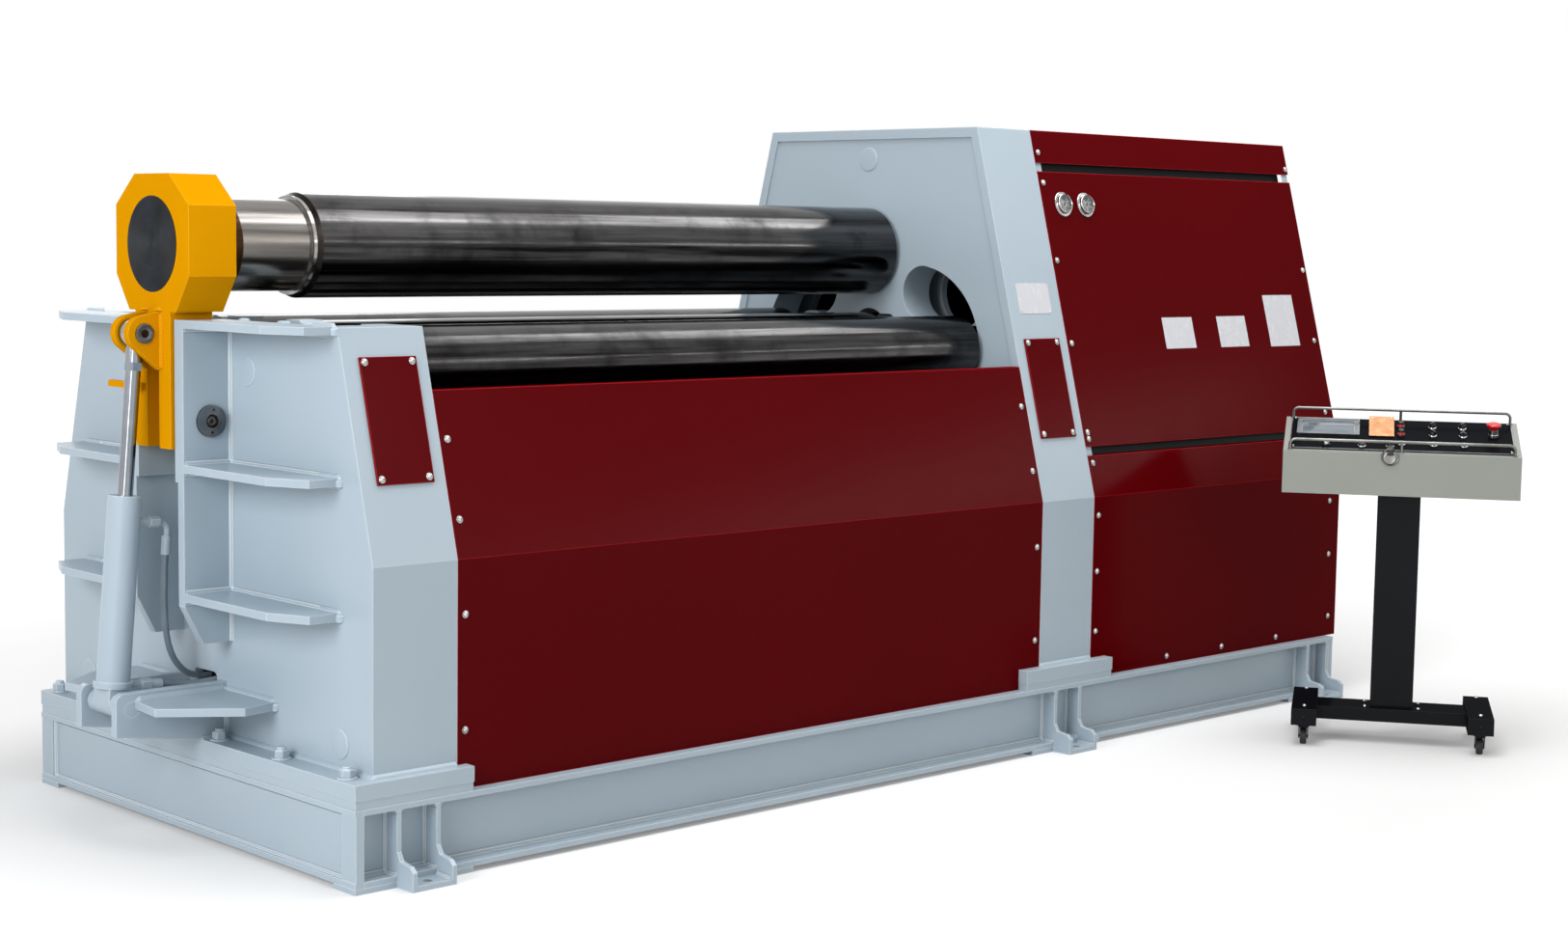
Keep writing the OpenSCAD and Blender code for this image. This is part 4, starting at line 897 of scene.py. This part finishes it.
def drawPanelFittings(bm, look):
    metal, black, red, glass, brass = range(5)
    lift = deskTop @ shift(0, 0, look["top"])
    w, d = (side - 2 * look["margin"] for side in (desk["width"], deskLong))
    middle = lift @ shift(0, deskLong / 2, -0.0005)
    trim(bm, (w, d), 0, 0.005, look["trim"], middle)
    spot, size = lift @ shift(*look["display"]), look["displaySize"]
    for outset, inset, depth, mat in ((0, 0.006, 0.007, metal), (0.006, 0.03, 0.0048, glass),
            (0.03, 0.034, 0.0058, metal)):
        trim(bm, size, outset, inset, depth, spot, mat)
    slab(bm, (size[0] - 0.034, size[1] - 0.034, 0.004), spot @ shift(0, 0, 0.002), 0.0005, glass)
    for sx, sy in corners:
        screwAt(bm, middle @ shift(sx * (w / 2 - look["screwIn"]), sy * (d / 2 - look["screwIn"]),
            0.0005), look["screw"])
    tilt = lift @ shift(*look["plate"]) @ Matrix.Rotation(0.14, 4, "X")
    slab(bm, look["plateSize"], tilt, 0.0004, brass, 1)  # blank brass plate on its posts
    for x in (-0.028, 0.028):
        for y, post in ((0.06, [(0.003, 0.0006), (0.0028, 0.0018), (0, 0.0026)]),
                (0.055, [(0.003, -0.022), (0.003, -0.0006)]),
                (-0.05, [(0.003, -0.0055), (0.003, -0.0006)])):
            lathe(bm, post, tilt @ shift(x, y), 14)
    taller = Matrix.Diagonal((1, 1, look["reach"], 1))
    for at in look["selectors"]:
        spot = lift @ shift(*at) @ taller
        bezelAt(bm, spot)
        lathe(bm, [(0.01, 0), (0.01, 0.01), (0.0092, 0.0118), (0, 0.0118)], spot, 28, black)
        turned = spot @ turnZ(dice.choice((-0.6, 0, 0.6)))
        slab(bm, (0.0072, 0.0215, 0.0085), turned @ shift(0, 0, 0.0118), 0.0018, black)
        slab(bm, (0.0016, 0.008, 0.0006), turned @ shift(0, 0.005, 0.0161), 0)
    for at in look["lamps"]:
        spot = lift @ shift(*at) @ taller
        bezelAt(bm, spot, black)
        lathe(bm, [(0.0105, 0), (0.0105, 0.0075), (0.0095, 0.0085)], spot, 28, red)
        lathe(bm, [(0.0095, 0.006), (0.0095, 0.013), (0.0085, 0.015), (0.005, 0.016), (0, 0.0163)],
            spot, 28, black)
    for at in look["buttons"]:
        spot = lift @ shift(*at)
        bezelAt(bm, spot)
        lathe(bm, [(0.0096, 0), (0.0096, 0.0085), (0.0086, 0.0105), (0.004, 0.0112), (0, 0.0113)],
            spot, 28, black)
    spot = lift @ shift(*look["silver"])
    lathe(bm, [(0.013, 0), (0.013, 0.005), (0.0115, 0.0062)], spot, 32, black)
    lathe(bm, [(0.0112, 0.005), (0.0112, 0.0132), (0.0098, 0.0155), (0.006, 0.016), (0, 0.016)],
        spot, 32)
    spot = lift @ shift(*look["key"])
    bezelAt(bm, spot)
    lathe(bm, [(0.01, 0), (0.01, 0.013), (0.0088, 0.0155), (0, 0.0158)], spot, 28, black)
    spot = lift @ shift(*look["stop"]) @ taller
    lathe(bm, [(0.015, 0), (0.015, 0.004), (0.0138, 0.0052), (0.0138, 0.0175), (0.0125, 0.019)],
        spot, 36, black)
    lathe(bm, [(0.0142, 0.0052), (0.0148, 0.0058), (0.0148, 0.0078), (0.0142, 0.0084)], spot, 36)
    lathe(bm, [(0.0115, 0.0175), (0.0122, 0.0205), (0.0155, 0.024), (0.02, 0.0265),
        (0.0219, 0.029), (0.0219, 0.0312), (0.0205, 0.0333), (0.016, 0.0345), (0.008, 0.035),
        (0, 0.035)], spot, 40, red)


tag = {"x": -0.033, "z": 0.8895, "front": desk["ahead"] - 0.0035, "radius": 0.0245,
    "wire": 0.0022, "strap": (0.018, 0.0022)}


def drawKeyTag(bm, look):  # a plain round tag hung from the key switch by a leather loop
    at, front, r = look["x"], look["front"], look["radius"]
    centre = Vector((at, front, look["z"]))
    ring = [deskPlace @ (centre + Vector((p.x, 0, p.y))) for p in circle(r, 40)]
    sweep(bm, ring, look["wire"], 8, 0, True)
    lathe(bm, [(0.0185, -0.001), (0.0185, 0.0008), (0.0165, 0.0013), (0.0155, 0.0006),
        (0.015, 0.0004), (0, 0.001)],
        deskPlace @ aim((0, -1, 0), centre + Vector((0, 0.001, -0.003))), 32, 2)
    strap = [Vector((at, front + y, z)) for y, z in (
        (-0.0005, look["z"] + 0.016), (-0.0008, deskLift - 0.006), (0.0005, deskLift + 0.004),
        (0.006, deskLift + 0.0095), (0.024, deskLift + 0.0165), (0.042, deskLift + 0.0225))]
    for a, b in zip(strap, strap[1:]):
        slab(bm, (*look["strap"], (b - a).length + 0.0015),
            deskPlace @ aim(b - a, (a + b) / 2) @ turnZ(pi), 0.0007, 1)


baseScrews = {"feet": 0.261, "ys": (-0.14, 0.165), "top": 0.117, "endY": 0.19, "post": 0.08,
    "postY": 0.045, "postTop": 0.109,
    "size": {"washer": 0.0062, "dome": 0.0056, "height": 0.0042},
    "endSize": {"washer": 0.004, "dome": 0.0036, "height": 0.0028}}


def drawBaseScrews(bm, look):
    top, size = look["top"], look["size"]
    for sx in (-1, 1):
        x = sx * look["feet"]
        for y in look["ys"]:
            screwAt(bm, deskPlace @ shift(x, y, top), size)
        for end in (-1, 1):
            screwAt(bm, deskPlace @ aim((0, end, 0), (x, end * look["endY"], top - 0.026)),
                look["endSize"], 1)
        for side in (-1, 1):
            screwAt(bm, deskPlace @ shift(sx * look["post"], side * look["postY"],
                look["postTop"]), size)


piece = addPiece("wireRails", drawRails, rails, [drawnWire], "machine")
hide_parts("desk_rails")
fittings = [stainless, blackKnob, redKnob, displayGlass, brassSheet]
piece = addPiece("panelFittings", drawPanelFittings, panel, fittings, "machine",
    40)
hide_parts("desk_controls")
addPiece("keyTag", drawKeyTag, tag, [oiledSteel, blackHide, drawnWire], "machine")
addPiece("deskBaseScrews", drawBaseScrews, baseScrews, [stainless, blackKnob], "machine",
    40)
print("desk dressed")

castors = {"spots": ((-0.261, -0.152), (-0.261, 0.152), (0.261, -0.152), (0.261, 0.152)),
    "trail": 0.012, "wheel": 0.025, "half": 0.01, "top": 0.066, "axleEnd": 0.0088}


def drawFork(bm, look):
    place, top, trail, r = pick(look, "place top trail wheel")
    lathe(bm, [(0.0218, top - 0.005), (0.0218, top - 0.0014), (0.0208, top - 0.0004),
        (0, top - 0.0004)], place)
    lathe(bm, [(0.0165, top - 0.0095), (0.0185, top - 0.0082), (0.019, top - 0.0062),
        (0.018, top - 0.0045), (0.01, top - 0.004)], place)
    cheek = [(-0.0155, top - 0.009), (0.016, top - 0.009), (0.019, top - 0.014),
        (0.0205, r + 0.012)]
    cheek += [(trail + look["axleEnd"] * cos(t), r + look["axleEnd"] * sin(t))
        for t in (radians(a) for a in (40, 10, -20, -55, -90, -125, -155, 175, 150))]
    cheek += [(-0.0085, r + 0.017), (-0.015, top - 0.016)]
    for x in (-0.0145, 0.0115):
        side = place @ Matrix(((0, 0, 1, x), (1, 0, 0, 0), (0, 1, 0, 0), (0, 0, 0, 1)))
        prism(bm, cheek, 0.003, side, 0, 0.0008)
    slab(bm, (0.029, 0.0305, 0.003), place @ shift(0, 0.0005, top - 0.0105))
    lathe(bm, [(0.004, -0.013), (0.004, 0.013)], place @ aim((1, 0, 0), (0, trail, r)), 16)
    for s in (-1, 1):
        lathe(bm, [(0.0062, 0.0142), (0.0062, 0.015), (0, 0.0152)],
            place @ aim((s, 0, 0), (0, trail, r)), 6)


def drawWheel(bm, look):
    place, trail, r, h = pick(look, "place trail wheel half")
    lathe(bm, [(0.0185, -h + 0.0008), (0.0225, -h), (0.0242, -h + 0.0022), (r, -h + 0.006),
        (r, h - 0.006), (0.0242, h - 0.0022), (0.0225, h), (0.0185, h - 0.0008)],
        place @ aim((1, 0, 0), (0, trail, r)), 56)
    for s in (-1, 1):
        lathe(bm, [(0.0188, h - 0.003), (0.0186, h - 0.0006), (0.017, h - 0.0002),
            (0.015, h - 0.0024), (0.009, h - 0.0026), (0.0078, h - 0.0002), (0.0048, h),
            (0.0042, h - 0.002)], place @ aim((s, 0, 0), (0, trail, r)), 40, 1)


for index, spot in enumerate(castors["spots"], 1):
    look = {**castors, "place": deskPlace @ shift(*spot)}
    fork = addPiece(f"castorFork{index}", drawFork, look, [blackZinc], f"fork_body_{index}")
    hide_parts(f"castor_fork_{index}")
    wheel = addPiece(f"castorWheel{index}", drawWheel, look, [tyreRubber, hubPlastic],
        f"wheel_body_{index}")
    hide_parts(f"castor_wheel_{index}")
print("castors made")

# the floor's lift is low near the middle and full far away: a shade round the machine painted into the floor
stage = {"floorSize": 60, "floor": "#d6d6d6", "liftNear": 0.17, "liftFar": 0.8, "near": 2,
    "far": 6.5, "sky": 0.42}


def paperSurface(mat, place, look):  # matt white paper, brightened where the eye sees it
    ray = put(mat, "LightPath").outputs
    seen = put(mat, "Math", (ray["Is Camera Ray"], ray["Is Glossy Ray"]), operation="MAXIMUM",
        use_clamp=True)
    paper = put(mat, "BsdfDiffuse", {"Color": look["floor"]})
    # painted shade: less glow close to the machine, rising to white with distance
    reach = put(mat, "VectorMath", [place], operation="LENGTH")
    lift = put(mat, "MapRange", (reach, look["near"], look["far"], look["liftNear"],
        look["liftFar"]))
    glow = put(mat, "Emission", {"Color": "#ffffff", "Strength": lift})
    dark = put(mat, "Emission", {"Strength": 0})
    return put(mat, "AddShader", (paper, put(mat, "MixShader", (seen, dark, glow))))


def makeStage(look):
    mat = material("seamlessPaper", paperSurface, look)
    bm = bmesh.new()
    bmesh.ops.create_grid(bm, x_segments=1, y_segments=1, size=look["floorSize"] / 2)
    sheet = bpy.data.meshes.new("floor")
    bm.to_mesh(sheet)
    bm.free()
    sheet.materials.append(mat)
    floor = bpy.data.objects.new("floor", sheet)
    floor.location = (0, 0, cadBox[0].z)
    scene.collection.objects.link(floor)
    world = bpy.data.worlds.new("studio")
    world.use_nodes = True
    world.node_tree.nodes.clear()
    scene.world = world
    ray = put(world, "LightPath").outputs
    seen = put(world, "Math", (ray["Is Camera Ray"], ray["Is Transmission Ray"]),
        operation="MAXIMUM")
    seen = put(world, "Math", (seen, ray["Is Glossy Ray"]), operation="MAXIMUM")
    white = put(world, "Background", ("#ffffff", 1))
    soft = put(world, "Background", ("#ffffff", look["sky"]))
    put(world, "OutputWorld", [put(world, "MixShader", (seen, soft, white))])


lamps = {  # place, spot aimed at, size, watts and tint
    "overhead": ((0.3, -1.15, 4.5), (0.2, 0, 1.2), (6.5, 1.6), 190, (1, 1, 1)),
    "left": ((-7.5, -1.8, 3.2), (-1.6, -0.3, 0.9), (3.2, 2.8), 275, (0.98, 0.99, 1)),
    "front": ((0.5, -7, 3.4), (0.4, -0.5, 0.9), (4.5, 2.2), 62, (1, 0.95, 0.89)),
    "line": ((6, -7, 3), (1, 0, 1.4), (6, 0.4), 45, (1, 0.98, 0.95)),
    "rear": ((0.5, 6.5, 4), (0, 0.3, 0.9), (6, 1.6), 75, (1, 1, 1)),
    "strip": ((-5.9, -3.3, 1.3), (-2.1, 0, 0.8), (0.8, 2.6), 34, (1, 1, 1))}
makeStage(stage)
for name, (place, target, size, watts, tint) in lamps.items():
    data = bpy.data.lights.new(name, "AREA")
    data.shape = "RECTANGLE"
    data.size, data.size_y = size
    data.energy = watts
    data.color = tint
    lamp = bpy.data.objects.new(name, data)
    lamp.matrix_world = aim(Vector(place) - Vector(target), place)
    scene.collection.objects.link(lamp)
print("stage and lamps set")
